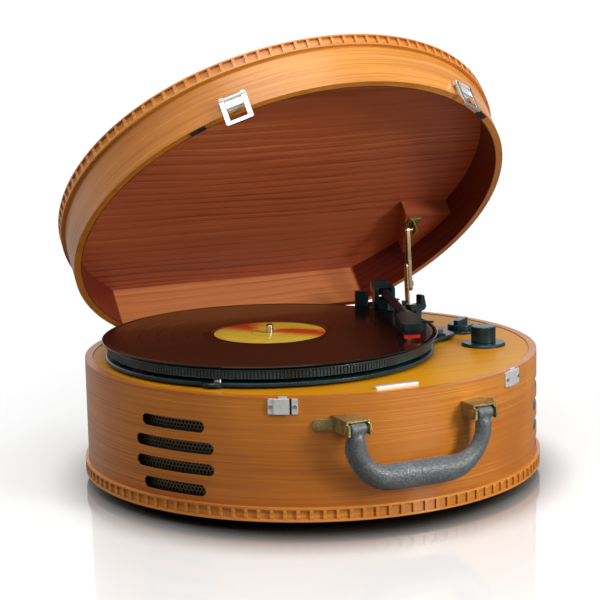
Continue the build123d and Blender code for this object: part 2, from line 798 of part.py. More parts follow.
def speed_selector():
    turn = radians(38)
    with BuildPart() as selector:
        rod(*SELECTOR, DECK_Z - 10, 3.0, 14)
        rod(*SELECTOR, KNOB_Z, 12.5, 4.6)
        chamfer(selector.faces().sort_by(Axis.Z)[-1].edges(), 0.8)
        # turned finger bar
        with BuildSketch(Plane(
            origin=(*SELECTOR, DECK_Z + 7.4), x_dir=(cos(turn), sin(turn), 0), z_dir=(0, 0, 1)
        )):
            RectangleRounded(23, 6.5, 2.5)
        extrude(amount=5.0)
    return selector.part


def stop_button():
    with BuildPart() as button:
        rod(*BUTTON, CHASSIS_Z + 2.1, 4.0, 3.3)
        rod(*BUTTON, CHASSIS_Z + 1.55, 4.0, 0.8)
        fillet(button.faces().sort_by(Axis.Z)[-1].edges(), 0.8)
    return button.part


def control_pots():
    with BuildPart() as pots:
        for x, y in (VOLUME, SELECTOR):
            rod(x, y, DECK_BASE - 12.2, 9, 12)
            rod(x, y, DECK_Z - 10.5, 3.05, 20, Mode.SUBTRACT)
            # terminal strip
            z = DECK_BASE - 10
            block(x - 5.5, x + 5.5, y - 12.5, y - 5.5, z, z + 1.6)
    return pots.part


# ================================================================= electronics
# cylindrical components on the board: x, y from the case centre, radius, height
BOARD_CANS = (
    (-15, 92, 6.5, 18), (5, 92, 6.5, 18), (20, 96, 4, 10), (34, 94, 4, 10), (58, 90, 5, 14),
)
BOARD_POSTS = ((-26, 82), (66, 82), (-26, 136), (66, 136))


def amp_board():
    with BuildPart() as board:
        block(-30, 70, CASE_Y + 78, CASE_Y + 140, BOARD_Z, BOARD_TOP)
        for x, y, r, h in BOARD_CANS:
            rod(x, CASE_Y + y, BOARD_TOP, r, h)
        block(-24, 10, CASE_Y + 112, CASE_Y + 134, BOARD_TOP, FOOT_H + 34)
        for x, y in BOARD_POSTS:
            rod(x, CASE_Y + y, FOOT_H + 6.5, 3, 6.0)
    return board.part


def rear_socket_plate():
    with BuildPart() as plate:
        with BuildSketch(facing_rear(SOCKET_X, SOCKET_Z, 0.02)):
            RectangleRounded(80, 42, 4)
        extrude(amount=2)
        with BuildSketch(facing_rear(SOCKET_X, SOCKET_Z, -10)):
            Rectangle(65, 29)
        extrude(amount=10.1)
        # two socket holes and a third, smaller hole: offset towards -X, radius
        for offset, r in (*((offset, 4.2) for offset in SOCKET_OFFSETS), (22, 3.25)):
            disc(facing_rear(SOCKET_X - offset, SOCKET_Z, -12), r, 20, Mode.SUBTRACT)
    return plate.part


def rear_sockets():
    with BuildPart() as sockets:
        for offset in SOCKET_OFFSETS:
            x = SOCKET_X - offset
            ring(facing_rear(x, SOCKET_Z, -9), 3.9, 3.2, 11.07)
            ring(facing_rear(x, SOCKET_Z, 2.07), 4.2, 3.2, 7.93)
    return sockets.part


# ================================================================= handle and its brackets
def bracket_foot(side, r):
    """Plane of a bracket's mounting foot, at radius r from the case centre."""
    return radial(side * 20.5 + degrees(atan2(HANDLE_X, R_OUT)), r, HANDLE_Z)


def handle_brackets():
    inner_y = CASE_Y - 180       # trimmed back to the wall below
    with BuildPart() as brackets:
        for side, x in zip(SIDES, HANDLE_ENDS):
            cheeks = (x - 9.6, x + 9.6)
            for cheek in cheeks:
                block(cheek - 0.9, cheek + 0.9, HANDLE_Y - 5.5, inner_y,
                      HANDLE_Z - 4.6, HANDLE_Z + 4.6)
            # top plate and the webs that join it to the cheeks
            block(x - 10.5, x + 10.5, HANDLE_Y - 2.0, inner_y, HANDLE_Z + 5.8, HANDLE_Z + 7.2)
            for cheek in cheeks:
                block(cheek - 0.9, cheek + 0.9, HANDLE_Y - 2.0, inner_y,
                      HANDLE_Z + 4.5, HANDLE_Z + 6.4)
            # mounting foot running outwards along the wall
            with BuildSketch(bracket_foot(side, R_OUT - 3)):
                SlotOverall(23, 9.0)
            extrude(amount=3 + BRACKET_FOOT_T)
        trim_to_wall(HANDLE_Z - 30, HANDLE_Z + 30)
        for x in HANDLE_ENDS:
            xrod(x - 13, x + 13, HANDLE_Y, HANDLE_Z, HANDLE_PIN_R, Mode.SUBTRACT)
    return brackets.part


def handle_fasteners():
    with BuildPart() as fasteners:
        # headed pivot pins through the bracket cheeks
        for x in HANDLE_ENDS:
            xrod(x - 10.7, x + 10.7, HANDLE_Y, HANDLE_Z, HANDLE_PIN_R)
            xrod(x + 10.55, x + 11.7, HANDLE_Y, HANDLE_Z, 3.4)
            xrod(x - 11.7, x - 10.55, HANDLE_Y, HANDLE_Z, 3.4)
        # one screw on the outer foot of each bracket
        for side in SIDES:
            foot = bracket_foot(side, R_OUT + BRACKET_FOOT_T + 0.02)
            screw(shifted(foot, side * 6.9), 2.4, 1.1, 1.0, 0.01)
    return fasteners.part


def handle_grip():
    left, right = HANDLE_ENDS
    y = HANDLE_Y
    neck_z = HANDLE_Z - 6
    grip_z = HANDLE_Z - HANDLE_DROP
    bend_z = grip_z + HANDLE_BEND
    inset = HANDLE_BEND * (1 - cos(radians(45)))     # middle of a bend from its corner
    bar_left, bar_right = left + HANDLE_BEND, right - HANDLE_BEND
    with BuildPart() as handle:
        with BuildLine():
            Line((left, y, neck_z), (left, y, bend_z))
            ThreePointArc(
                (left, y, bend_z), (left + inset, y, grip_z + inset), (bar_left, y, grip_z)
            )
            Line((bar_left, y, grip_z), (bar_right, y, grip_z))
            ThreePointArc(
                (bar_right, y, grip_z), (right - inset, y, grip_z + inset), (right, y, bend_z)
            )
            Line((right, y, bend_z), (right, y, neck_z))
        with BuildSketch(Plane(origin=(left, y, neck_z), x_dir=(1, 0, 0), z_dir=(0, 0, -1))):
            Circle(6.8)
        sweep()
        # slimmer necks up to the pins
        for x in HANDLE_ENDS:
            rod(x, y, HANDLE_Z - 7, 5.1, 7)
        # rounded eyes on the pins
        for x in HANDLE_ENDS:
            xrod(x - 7.0, x + 7.0, y, HANDLE_Z, 5.4)
        # barrel-shaped grip
        half, end_r = HANDLE_HALF - HANDLE_BEND + 8, 9.2
        with BuildSketch(facing_front(HANDLE_X, y, grip_z)):
            with BuildLine():
                Line((-half, 0), (half, 0))
                Line((half, 0), (half, end_r))
                ThreePointArc((half, end_r), (0, GRIP_R), (-half, end_r))
                Line((-half, end_r), (-half, 0))
            make_face()
        revolve(axis=Axis((HANDLE_X, y, grip_z), (1, 0, 0)))
        for x in HANDLE_ENDS:
            xrod(x - 12, x + 12, y, HANDLE_Z, HANDLE_PIN_R + 0.05, Mode.SUBTRACT)
    return handle.part


# ================================================================= latches
def latch_plane(side, r, z):
    return radial(side * LATCH_ANGLE, r, z)


def latch_pin_plane(side, offset):
    """Plane across the latch pin, offset along the pin from the latch's middle."""
    pin = latch_plane(side, LATCH_PIN_R, LATCH_PIN_Z)
    return Plane(
        origin=pin.from_local_coords((offset, 0, 0)), x_dir=(0, 0, 1), z_dir=pin.x_dir
    )


def latch_strikes():
    with BuildPart() as strikes:
        for side in SIDES:
            with BuildSketch(latch_plane(side, R_OUT - 4, STRIKE_Z)):
                RectangleRounded(24.5, STRIKE_H, 0.8)
            extrude(amount=4 + STRIKE_T)
            # raised middle and the tab above it
            with BuildSketch(latch_plane(side, R_OUT, STRIKE_Z)):
                with Locations((-1.0, 0)):
                    Rectangle(12.6, STRIKE_H)
            extrude(amount=2.4)
            with BuildSketch(latch_plane(side, R_OUT, RIM - 0.8)):
                Rectangle(7.0, 3.2)
            extrude(amount=1.6)
        trim_to_wall(RIM - 30, RIM + 30)
        for side in SIDES:
            for x in STRIKE_SCREWS:
                hole = shifted(latch_plane(side, R_OUT - 5, STRIKE_Z), x)
                disc(hole, 1.1, 20, Mode.SUBTRACT)
            # slit the catch hooks into
            with BuildSketch(latch_plane(side, R_OUT + 0.45, STRIKE_Z)):
                with Locations((6.3, 0)):
                    Rectangle(1.9, 16)
            extrude(amount=6, mode=Mode.SUBTRACT)
    return strikes.part


def latch_plates():
    width = 14.8
    with BuildPart() as plates:
        for side in SIDES:
            with BuildSketch(latch_plane(side, R_OUT - 4, RIM + 9.0)):
                RectangleRounded(15.4, 13.0, 0.8)
            extrude(amount=4 + 1.1)
            # raised lever between the arms of the bail
            with BuildSketch(latch_plane(side, R_OUT, RIM + 7.6)):
                Rectangle(width, 7.6)
            extrude(amount=3.6)
            # knuckle on the pivot pin
            knuckle = latch_pin_plane(side, -width / 2)
            disc(knuckle, LATCH_KNUCKLE_R, width)
            disc(knuckle.offset(-2), 1.0, 22, Mode.SUBTRACT)
        trim_to_wall(RIM - 30, RIM + 60)
    return plates.part


def latch_bail(side):
    """U-shaped bail with a knuckle on each arm and the pin between them."""
    above = 2.4                               # arm above the pin
    below = LATCH_PIN_Z - (RIM - 12.8)        # pin to the bottom of the crossbar
    window_top, window_drop = 5.0, below - 3.4
    with BuildPart() as bail:
        with BuildSketch(latch_plane(side, LATCH_PIN_R + 0.2, LATCH_PIN_Z)):
            with Locations((0, (above - below) / 2)):
                RectangleRounded(24.0, above + below, 2.0)
            with Locations((0, (window_top - window_drop) / 2)):
                Rectangle(15.6, window_top + window_drop, mode=Mode.SUBTRACT)
        extrude(amount=1.5)
        knuckle = latch_pin_plane(side, -11.6)
        disc(knuckle, LATCH_KNUCKLE_R, 3.6)
        disc(knuckle.offset(19.6), LATCH_KNUCKLE_R, 3.6)
        disc(knuckle.offset(0.2), 0.95, 22.8)
    return bail.part


def latch_bail_left():
    return latch_bail(-1)


def latch_bail_right():
    return latch_bail(1)


# ================================================================= lid
def lid_wall():
    with BuildPart() as wall:
        d_prism(0, RIM + LID_GAP, LID_TOP - LID_PANEL_T)
        d_prism(-WALL, RIM, LID_TOP, Mode.SUBTRACT)
    return wall.part


def lid_panel():
    with BuildPart() as panel:
        d_prism(0, LID_TOP - LID_PANEL_T + 0.02, LID_TOP)
        fillet(panel.faces().sort_by(Axis.Z)[-1].edges(), 1.5)
    return panel.part


def lid_liner():
    with BuildPart() as liner:
        d_prism(-WALL - FIT, LINER_Z, LID_TOP - LID_PANEL_T)
    return liner.part


def lid_moulding():
    bottom = LID_TOP - MOULD_H - 0.6
    return moulding(bottom, bottom + MOULD_H - 1.2)


def lid_bumpers():
    with BuildPart() as bumpers:
        for angle in (-42, 42):
            with BuildSketch(level_radial(angle, R_OUT - WALL / 2, RIM + 0.2)):
                RectangleRounded(14, 5, 1)
            extrude(amount=LID_GAP - 0.2)
    return bumpers.part


def stay_block():
    """Block between the lid's ceiling and its right wall that carries the stay."""
    r = R_OUT - WALL - FIT
    inner = (142.0, 36.5)
    # points on the wall, degrees from +X towards +Y
    near, middle, far = (
        (r * cos(radians(a)), r * sin(radians(a))) for a in (12.0, 22.5, 33.0)
    )
    with BuildPart() as carrier:
        with BuildSketch(on(0, CASE_Y, STAY_BLOCK_Z)):
            with BuildLine():
                Line(inner, near)
                ThreePointArc(near, middle, far)
                Line(far, inner)
            make_face()
        extrude(amount=LINER_Z - STAY_BLOCK_Z)
    return carrier.part


# ================================================================= lid stay
# upper pivot with the lid open, and the line from the lower pivot to it
OPEN_COS, OPEN_SIN = cos(radians(LID_OPEN)), sin(radians(LID_OPEN))
OPEN_Y = HINGE_Y + (STAY_TOP_Y - HINGE_Y) * OPEN_COS + (STAY_TOP_Z - HINGE_Z) * OPEN_SIN
OPEN_Z = HINGE_Z - (STAY_TOP_Y - HINGE_Y) * OPEN_SIN + (STAY_TOP_Z - HINGE_Z) * OPEN_COS
STAY_LEN = sqrt((OPEN_Y - STAY_LOW_Y) ** 2 + (OPEN_Z - STAY_LOW_Z) ** 2)
STAY_ANGLE = atan2(OPEN_Z - STAY_LOW_Z, OPEN_Y - STAY_LOW_Y)       # radians


def stay_plane(x, along=0):
    """Plane facing +X, its local X running from the lower to the open upper pivot."""
    plane = Plane(
        origin=(x, STAY_LOW_Y, STAY_LOW_Z),
        x_dir=(0, cos(STAY_ANGLE), sin(STAY_ANGLE)),
        z_dir=(1, 0, 0),
    )
    return shifted(plane, along)


def stay_bracket_lid():
    x, y, z = STAY_X, STAY_TOP_Y, STAY_TOP_Z
    with BuildPart() as bracket:
        block(x - 1.0, x + 12, y - 9, y + 9, STAY_BLOCK_Z - 1.5, STAY_BLOCK_Z)
        block(x + 4.2, x + 5.8, y - 5, y + 5, z - 4.5, STAY_BLOCK_Z)
        xrod(x - 1.2, x + 5.0, y, z, 1.6)
    return bracket.part


def stay_arm_lower():
    """Flat bar from the base bracket with a guide stud that runs in the upper bar's slot."""
    stud = 20.5          # lower pivot to stud
    with BuildPart() as arm:
        with BuildSketch(stay_plane(STAY_X - 7.0)):
            with Locations((19, 0)):
                SlotOverall(45, 6.4)
            Circle(1.85, mode=Mode.SUBTRACT)
        extrude(amount=1.8)
        disc(stay_plane(STAY_X - 5.4, stud), 1.35, 5.0)
        disc(stay_plane(STAY_X - 0.6, stud), 2.6, 1.0)
    return arm.part


def stay_arm_upper():
    """Slotted bar that hangs from the lid bracket and slides over the lower bar."""
    length = 63.4
    slot_start, slot_end = STAY_LEN - 57.5, STAY_LEN - 3.4
    with BuildPart() as arm:
        with BuildSketch(stay_plane(STAY_X - 4.9)):
            with Locations((STAY_LEN - length / 2 + 3.4, 0)):
                SlotOverall(length, 6.8)
            with Locations((STAY_LEN, 0)):
                Circle(2.1, mode=Mode.SUBTRACT)
        extrude(amount=3.6)
        with BuildSketch(stay_plane(STAY_X - 6)):
            with Locations(((slot_start + slot_end) / 2, 0)):
                SlotOverall(slot_end - slot_start, 3.1)
        extrude(amount=6, mode=Mode.SUBTRACT)
    return arm.part


def stay_bracket_base():
    x, y, z = STAY_X, STAY_LOW_Y, STAY_LOW_Z
    with BuildPart() as bracket:
        block(x - 17, x - 5.3, y - 10, y + 10, DECK_Z, DECK_Z + 1.8)
        block(x - 9.6, x - 7.3, y - 6, y + 6, DECK_Z + 1.7, z + 3.6)
        xrod(x - 8.0, x - 5.1, y, z, 1.8)
    return bracket.part


# ================================================================= hinges
def leaf_holes(x, screws):
    """Screw holes through a hinge leaf centred on x."""
    for dx, z in screws:
        disc(facing_front(x + dx, REAR_Y + 5, z), 1.5, 6, Mode.SUBTRACT)


def hinge_leaves_base():
    inner, outer = REAR_Y + SKIN, REAR_Y + LEAF_T
    with BuildPart() as leaves:
        for side in SIDES:
            x = side * HINGE_X
            block(x - LEAF_HALF, x + LEAF_HALF, inner, outer, RIM - 18, RIM - 0.6)
            block(x - BASE_KNUCKLE, x + BASE_KNUCKLE, REAR_Y + 0.08, outer,
                  RIM - 1.0, HINGE_Z - 0.6)
            xrod(x - BASE_KNUCKLE, x + BASE_KNUCKLE, HINGE_Y, HINGE_Z, KNUCKLE_R)
            xrod(x - 9, x + 9, HINGE_Y, HINGE_Z, HINGE_PIN_R, Mode.SUBTRACT)
            leaf_holes(x, BASE_HINGE_SCREWS)
    return leaves.part


def hinge_leaves_lid():
    inner, outer = REAR_Y + SKIN, REAR_Y + LEAF_T
    with BuildPart() as leaves:
        for side in SIDES:
            x = side * HINGE_X
            block(x - LEAF_HALF, x + LEAF_HALF, inner, outer, HINGE_Z + 3.0, HINGE_Z + 20)
            for k in (x - 12, x + 12):
                block(k - 4, k + 4, inner, outer, HINGE_Z + 0.5, HINGE_Z + 4)
                xrod(k - 4, k + 4, HINGE_Y, HINGE_Z, KNUCKLE_R)
            xrod(x - 18, x + 18, HINGE_Y, HINGE_Z, HINGE_PIN_R + 0.04, Mode.SUBTRACT)
            leaf_holes(x, LID_HINGE_SCREWS)
    return leaves.part


def hinge_pins():
    with BuildPart() as pins:
        for side in SIDES:
            x = side * HINGE_X
            xrod(x - 16.2, x + 16.2, HINGE_Y, HINGE_Z, HINGE_PIN_R)
    return pins.part


# ================================================================= screws
def hinge_screws(screws):
    """The screws of one pair of hinge leaves."""
    for side in SIDES:
        for dx, z in screws:
            screw(facing_rear(side * HINGE_X + dx, z, LEAF_T + 0.03), 2.3, 0.9, 1.4, 1.25)


def base_screws():
    with BuildPart() as screws:
        # latch strikes
        for side in SIDES:
            for x in STRIKE_SCREWS:
                face = latch_plane(side, R_OUT + STRIKE_T + 0.03, STRIKE_Z)
                screw(shifted(face, x), 1.7, 0.7, 1.05, 1.1)
        hinge_screws(BASE_HINGE_SCREWS)
        # corners of the rear socket plate
        for dx in (-36, 36):
            for dz in (-17, 17):
                screw(facing_rear(SOCKET_X + dx, SOCKET_Z + dz, 2.05), 2.2, 0.9, 1.0, 0.0101)
        # turntable chassis
        for x, y in CHASSIS_SCREWS:
            screw(on(x, y, CHASSIS_Z + 0.02), 4.0, 2.0, 2.1, CHASSIS_T + GROMMET_T + 0.02)
        # feet, driven from below
        for x, y in FEET:
            rod(x, y, 3.98, 5.5, -1.8)
            rod(x, y, 3.97, 2.5, FOOT_H + 0.48 - 3.97)
    return screws.part


def lid_screws():
    with BuildPart() as screws:
        hinge_screws(LID_HINGE_SCREWS)
    return screws.part


# ================================================================= build and save
BASE_PIECES = (
    case_wall, base_moulding, floor_panel, rubber_feet, deck_panel, deck_blocks, badge_bar,
    speaker_grilles, speaker_drivers,
    turntable_chassis, chassis_grommets, spindle, platter, platter_mat, record_disc,
    record_label, drive_motor, motor_pulley, drive_belt,
    tonearm_base, tonearm_yoke, tonearm_pivot_pin, tonearm_tube, counterweight, headshell,
    cartridge, stylus, arm_rest, cue_lever, cue_lift,
    control_bezels, volume_knob, speed_selector, stop_button, control_pots,
    amp_board, rear_socket_plate, rear_sockets,
    handle_brackets, handle_fasteners, handle_grip, latch_strikes,
    stay_arm_lower, stay_arm_upper, stay_bracket_base,
    hinge_leaves_base, hinge_pins, base_screws,
)
LID_PIECES = (
    latch_plates, latch_bail_left, latch_bail_right,
    lid_wall, lid_panel, lid_liner, lid_moulding, lid_bumpers,
    stay_block, stay_bracket_lid, hinge_leaves_lid, lid_screws,
)


def opened(part):
    """Swings a lid piece open about the hinge."""
    return part.rotate(Axis((0, HINGE_Y, HINGE_Z), (1, 0, 0)), -LID_OPEN)


def save(part, name):
    part.label = name
    export_step(part, f"parts/{name}.step")


for build in BASE_PIECES:
    save(build(), build.__name__)
for build in LID_PIECES:
    save(opened(build()), build.__name__)
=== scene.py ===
"""Portable record player in a D-shaped wooden case, with its lid open.

Metres, +Z up. The case is round towards the front (-Y) and flat at the back (+Y), and its feet
stand at z = 0. The lid is swung open about the hinge pins, which run along X.
"""

import functools
import math

import bmesh
import bpy
from mathutils import Matrix, Vector, noise


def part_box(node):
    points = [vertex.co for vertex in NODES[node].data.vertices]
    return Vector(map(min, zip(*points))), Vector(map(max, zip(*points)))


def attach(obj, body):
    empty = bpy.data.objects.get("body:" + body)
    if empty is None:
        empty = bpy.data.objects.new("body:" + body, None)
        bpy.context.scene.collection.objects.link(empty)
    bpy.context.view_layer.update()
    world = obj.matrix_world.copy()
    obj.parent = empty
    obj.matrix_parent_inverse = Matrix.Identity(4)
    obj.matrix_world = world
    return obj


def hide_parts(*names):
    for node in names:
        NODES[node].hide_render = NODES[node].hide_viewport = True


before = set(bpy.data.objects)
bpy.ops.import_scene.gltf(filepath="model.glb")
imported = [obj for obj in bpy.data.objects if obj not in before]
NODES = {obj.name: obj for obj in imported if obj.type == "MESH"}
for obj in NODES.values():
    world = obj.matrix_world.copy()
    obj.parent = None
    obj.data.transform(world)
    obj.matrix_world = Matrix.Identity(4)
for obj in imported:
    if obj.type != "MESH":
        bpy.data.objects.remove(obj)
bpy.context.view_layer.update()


def middle(node):
    low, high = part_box(node)
    return (low + high) / 2


# ---------------------------------------------------------------- places taken from the frame
CASE_LOW, CASE_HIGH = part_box("case_wall")
CASE_R = (CASE_HIGH.x - CASE_LOW.x) / 2
CASE_Y = CASE_LOW.y + CASE_R              # axis of the round front
REAR_Y = CASE_HIGH.y                      # outside of the flat back
RIM_Z = CASE_HIGH.z
WALL = 0.007
INNER_R = CASE_R - WALL
SPINDLE = middle("spindle")
HINGE = middle("hinge_pins")
LID_OPEN = math.radians(41.5)
SLOT_ANGLE = 59.7                         # degrees from the front to the middle of each slotted area
CATCH_ANGLE = 31.5                        # degrees from the front to each catch


# ---------------------------------------------------------------- shader graphs
def srgb(red, green, blue):
    """Linear colour from 0..255 sRGB."""
    def linear(value):
        value /= 255.0
        return value / 12.92 if value <= 0.04045 else ((value + 0.055) / 1.055) ** 2.4
    return (linear(red), linear(green), linear(blue), 1.0)


def grey(value):
    return (value, value, value, 1.0)


class Field:
    """A node output. Arithmetic on it adds Math nodes."""

    def __init__(self, graph, socket):
        self.graph = graph
        self.socket = socket

    def __add__(self, other):
        return self.graph.math("ADD", self, other)

    def __radd__(self, other):
        return self.graph.math("ADD", other, self)

    def __sub__(self, other):
        return self.graph.math("SUBTRACT", self, other)

    def __rsub__(self, other):
        return self.graph.math("SUBTRACT", other, self)

    def __mul__(self, other):
        return self.graph.math("MULTIPLY", self, other)

    def __abs__(self):
        return self.graph.math("ABSOLUTE", self)


class Graph:
    """Adds nodes to a shader tree. Values may be Fields, numbers or tuples."""

    def __init__(self, tree):
        self.tree = tree

    def put(self, socket, value):
        if isinstance(value, Field):
            self.tree.links.new(value.socket, socket)
        else:
            socket.default_value = value

    def node(self, kind, inputs, output=0, **settings):
        node = self.tree.nodes.new("ShaderNode" + kind)
        for name, value in settings.items():
            setattr(node, name, value)
        for key, value in inputs.items():
            self.put(node.inputs[key], value)
        return Field(self, node.outputs[output])

    def math(self, operation, *values):
        return self.node("Math", dict(enumerate(values)), operation=operation)

    def union(self, *fields):
        return functools.reduce(lambda a, b: self.math("MAXIMUM", a, b), fields)

    def split(self, vector):
        first = self.node("SeparateXYZ", {0: vector})
        return [Field(self, socket) for socket in first.socket.node.outputs]

    def join(self, x, y, z):
        return self.node("CombineXYZ", {0: x, 1: y, 2: z})

    def noise(self, vector, scale=1.0, detail=2.0, rough=0.5):
        return self.node("TexNoise", {"Vector": vector, "Scale": scale, "Detail": detail,
                                      "Roughness": rough}, "Fac")

    def stretched(self, point, scales, detail=2.0, rough=0.5):
        """Noise with its own frequency on each axis."""
        scaled = [self.math("MULTIPLY", value, scale) for value, scale in zip(point, scales)]
        return self.noise(self.join(*scaled), detail=detail, rough=rough)

    def voronoi(self, vector, scale, feature="F1"):
        return self.node("TexVoronoi", {"Vector": vector, "Scale": scale}, "Distance",
                         feature=feature)

    def ramp(self, factor, stops, interpolation="EASE"):
        field = self.node("ValToRGB", {0: factor})
        ramp = field.socket.node.color_ramp
        ramp.interpolation = interpolation
        while len(ramp.elements) > 1:
            ramp.elements.remove(ramp.elements[-1])
        ramp.elements[0].position, ramp.elements[0].color = stops[0]
        for position, colour in stops[1:]:
            ramp.elements.new(position).color = colour
        return field

    def ease(self, value, start, end, low, high):
        """Smoothly low..high while value goes start..end."""
        return self.node("MapRange", {0: value, 1: start, 2: end, 3: low, 4: high},
                         interpolation_type="SMOOTHSTEP")

    def step(self, value, off, on):
        """0 at off, 1 at on, smooth between; off may be the higher of the two."""
        if off > on:
            return self.ease(value, on, off, 1.0, 0.0)
        return self.ease(value, off, on, 0.0, 1.0)

    def mix(self, factor, first, second):
        return self.node("Mix", {0: factor, 6: first, 7: second}, 2, data_type="RGBA")

    def mix_value(self, factor, first, second):
        return self.node("Mix", {0: factor, 2: first, 3: second}, data_type="FLOAT")

    def seen_by_camera(self):
        return self.node("LightPath", {}, "Is Camera Ray")


INPUTS = {"color": "Base Color", "rough": "Roughness", "metal": "Metallic", "normal": "Normal",
          "coat": "Coat Weight", "coat_rough": "Coat Roughness", "spec": "Specular IOR Level",
          "sheen": "Sheen Weight", "aniso": "Anisotropic", "tangent": "Tangent", "ior": "IOR",
          "glow_color": "Emission Color", "glow": "Emission Strength"}


class Material(Graph):
    """A Principled material driven by object coordinates."""

    def __init__(self, name):
        self.material = bpy.data.materials.new(name)
        self.material.use_nodes = True
        super().__init__(self.material.node_tree)
        self.principled = self.tree.nodes["Principled BSDF"]
        self.coords = self.node("TexCoord", {}, "Object")

    def bump(self, height, depth, strength, bevel=None):
        inputs = {"Strength": strength, "Distance": depth, "Height": height}
        if bevel is not None:
            inputs["Normal"] = self.node("Bevel", {0: bevel}, samples=4)
        return self.node("Bump", inputs)

    def finish(self, **values):
        for key, value in values.items():
            self.put(self.principled.inputs[INPUTS[key]], value)
        return self.material


def closed_lid(mat):
    """Object coordinates of a lid piece turned back to the closed lid."""
    x, y, z = mat.split(mat.coords)
    cosine, sine = math.cos(LID_OPEN), math.sin(LID_OPEN)
    dy, dz = y - HINGE.y, z - HINGE.z
    return x, dy * cosine - dz * sine + HINGE.y, dy * sine + dz * cosine + HINGE.z


def polar(mat, x, y):
    """Arc length round the case from the front, positive towards +X, and radius."""
    angle = mat.math("ARCTAN2", x, CASE_Y - y)
    dy = y - CASE_Y
    return angle * CASE_R, mat.math("SQRT", x * x + dy * dy)


def from_spindle(mat):
    """X and Y from the spindle, and the radius."""
    x, y, _ = mat.split(mat.coords)
    dx, dy = x - SPINDLE.x, y - SPINDLE.y
    return dx, dy, mat.math("SQRT", dx * dx + dy * dy)


# ---------------------------------------------------------------- wood
# Wood tones are (dark, body, light) in sRGB.
def veneer(mat, along, across, depth, tones, wave=0.010, fine=1.0, rings=90.0,
           weights=(0.5, 0.34, 0.16)):
    """Fine veneer. Returns its colour, its figure and its (streak, pore) relief.

    wave is how far the grain wanders, fine and rings are frequencies across the grain, and
    weights share the figure between bands, streaks and slow tone.
    """
    dark, body, light = (srgb(*tone) for tone in tones)
    sweep = mat.stretched((along, across, depth), (4.5, 13.0, 13.0))
    bent = across + (sweep - 0.5) * wave
    ripple = mat.stretched((along, bent, depth), (26.0, 120.0, 40.0))
    bent = bent + (ripple - 0.5) * 0.0022
    point = (along, bent, depth)
    bands = mat.stretched(point, (1.6, rings, 20.0), detail=3.0, rough=0.55)
    streak = mat.stretched(point, (7.0, 430.0 * fine, 60.0), detail=3.0, rough=0.62)
    pore = mat.step(mat.stretched(point, (95.0, 1500.0 * fine, 300.0)), 0.60, 0.72)
    tone = mat.stretched((along, across, depth), (3.0, 6.0, 6.0))
    figure = bands * weights[0] + streak * weights[1] + tone * weights[2]
    colour = mat.ramp(figure, [(0.36, dark), (0.49, body), (0.62, light)])
    return mat.mix(pore * 0.35, colour, dark), figure, (streak, pore)


def veneer_bump(mat, relief, bevel, strength=0.5, depth=0.00006):
    streak, pore = relief
    return mat.bump(streak * 0.6 - pore * 0.8, depth, strength, bevel)


def pine(mat, along, across, depth, tones, pitch=88.0):
    """Red-brown pine with narrow, uneven late-wood lines. Returns its colour and streaks."""
    dark, body, light = (srgb(*tone) for tone in tones)
    sweep = mat.stretched((along, across, depth), (3.2, 9.0, 9.0), detail=1.5)
    bent = across + (sweep - 0.5) * 0.030
    point = (along, bent, depth)
    ripple = mat.stretched(point, (16.0, 60.0, 30.0))
    spacing = mat.stretched(point, (0.8, 26.0, 5.0), rough=0.6)
    phase = mat.math("FRACT", bent * pitch + (ripple * 0.55 + spacing * 3.0))
    ring = mat.ramp(phase, [(0.0, grey(0.25)), (0.12, grey(0.0)), (0.55, grey(0.25)),
                            (0.90, grey(0.95)), (1.0, grey(0.25))], "LINEAR")
    streak = mat.stretched(point, (8.0, 620.0, 60.0), detail=3.0, rough=0.6)
    tone = mat.stretched((along, across, depth), (2.0, 11.0, 6.0))
    patches = mat.noise(mat.join(along * 1.6, across * 7.0, 3.0), detail=1.0)
    strength = mat.step(patches, 0.38, 0.62)
    figure = ring * (0.10 + strength * 0.26) + streak * 0.42 + tone * 0.42
    return mat.ramp(figure, [(0.26, light), (0.47, body), (0.80, dark)]), streak


def case_wood():
    mat = Material("case_wood")
    x, y, z = mat.split(mat.coords)
    along, radius = polar(mat, x, y)
    colour, figure, relief = veneer(
        mat, along, z, radius * 0.5, ((156, 84, 20), (195, 116, 34), (222, 148, 56)),
        wave=0.003, fine=1.7, rings=240.0, weights=(0.16, 0.32, 0.52))
    clouds = mat.stretched((along, z, radius), (11.0, 5.0, 4.0))
    colour = mat.mix(mat.step(clouds, 0.56, 0.34) * 0.30, colour, srgb(150, 78, 26))
    # painted shade: darker in the corner above the moulding, where shade falls; also darker just
    # under the rim
    low = mat.step(z, 0.030, 0.020)
    top = mat.step(z, RIM_Z - 0.004, RIM_Z - 0.0008)
    colour = mat.mix(low * 0.35, colour, srgb(140, 66, 18))
    colour = mat.mix(top * 0.30, colour, srgb(160, 78, 26))
    # painted shade: the walls of the slots are coloured near black through the thickness of the wall
    span = abs(abs(along) - math.radians(SLOT_ANGLE) * CASE_R)
    slot_shade = (mat.step(radius, CASE_R - 0.0003, CASE_R - 0.0008)
           * mat.step(z, RIM_Z - 0.0012, RIM_Z - 0.0020))
    slot_shade = slot_shade * mat.step(span, 0.0540, 0.0520)
    # the flat back shows its own veneer, running across
    flat, _, _ = veneer(
        mat, x, z, 0.2, ((150, 84, 24), (186, 114, 40), (212, 142, 60)),
        wave=0.004, rings=120.0, weights=(0.22, 0.36, 0.42))
    colour = mat.mix(mat.step(y, REAR_Y - 0.0004, REAR_Y - 0.0001), colour, flat)
    # painted shade inside the slots
    colour = mat.mix(slot_shade, colour, srgb(16, 12, 9))
    return mat.finish(color=colour, rough=0.34 + figure * 0.16, coat=0.40, coat_rough=0.26,
                      spec=0.30, normal=veneer_bump(mat, relief, bevel=0.0007, strength=0.55))


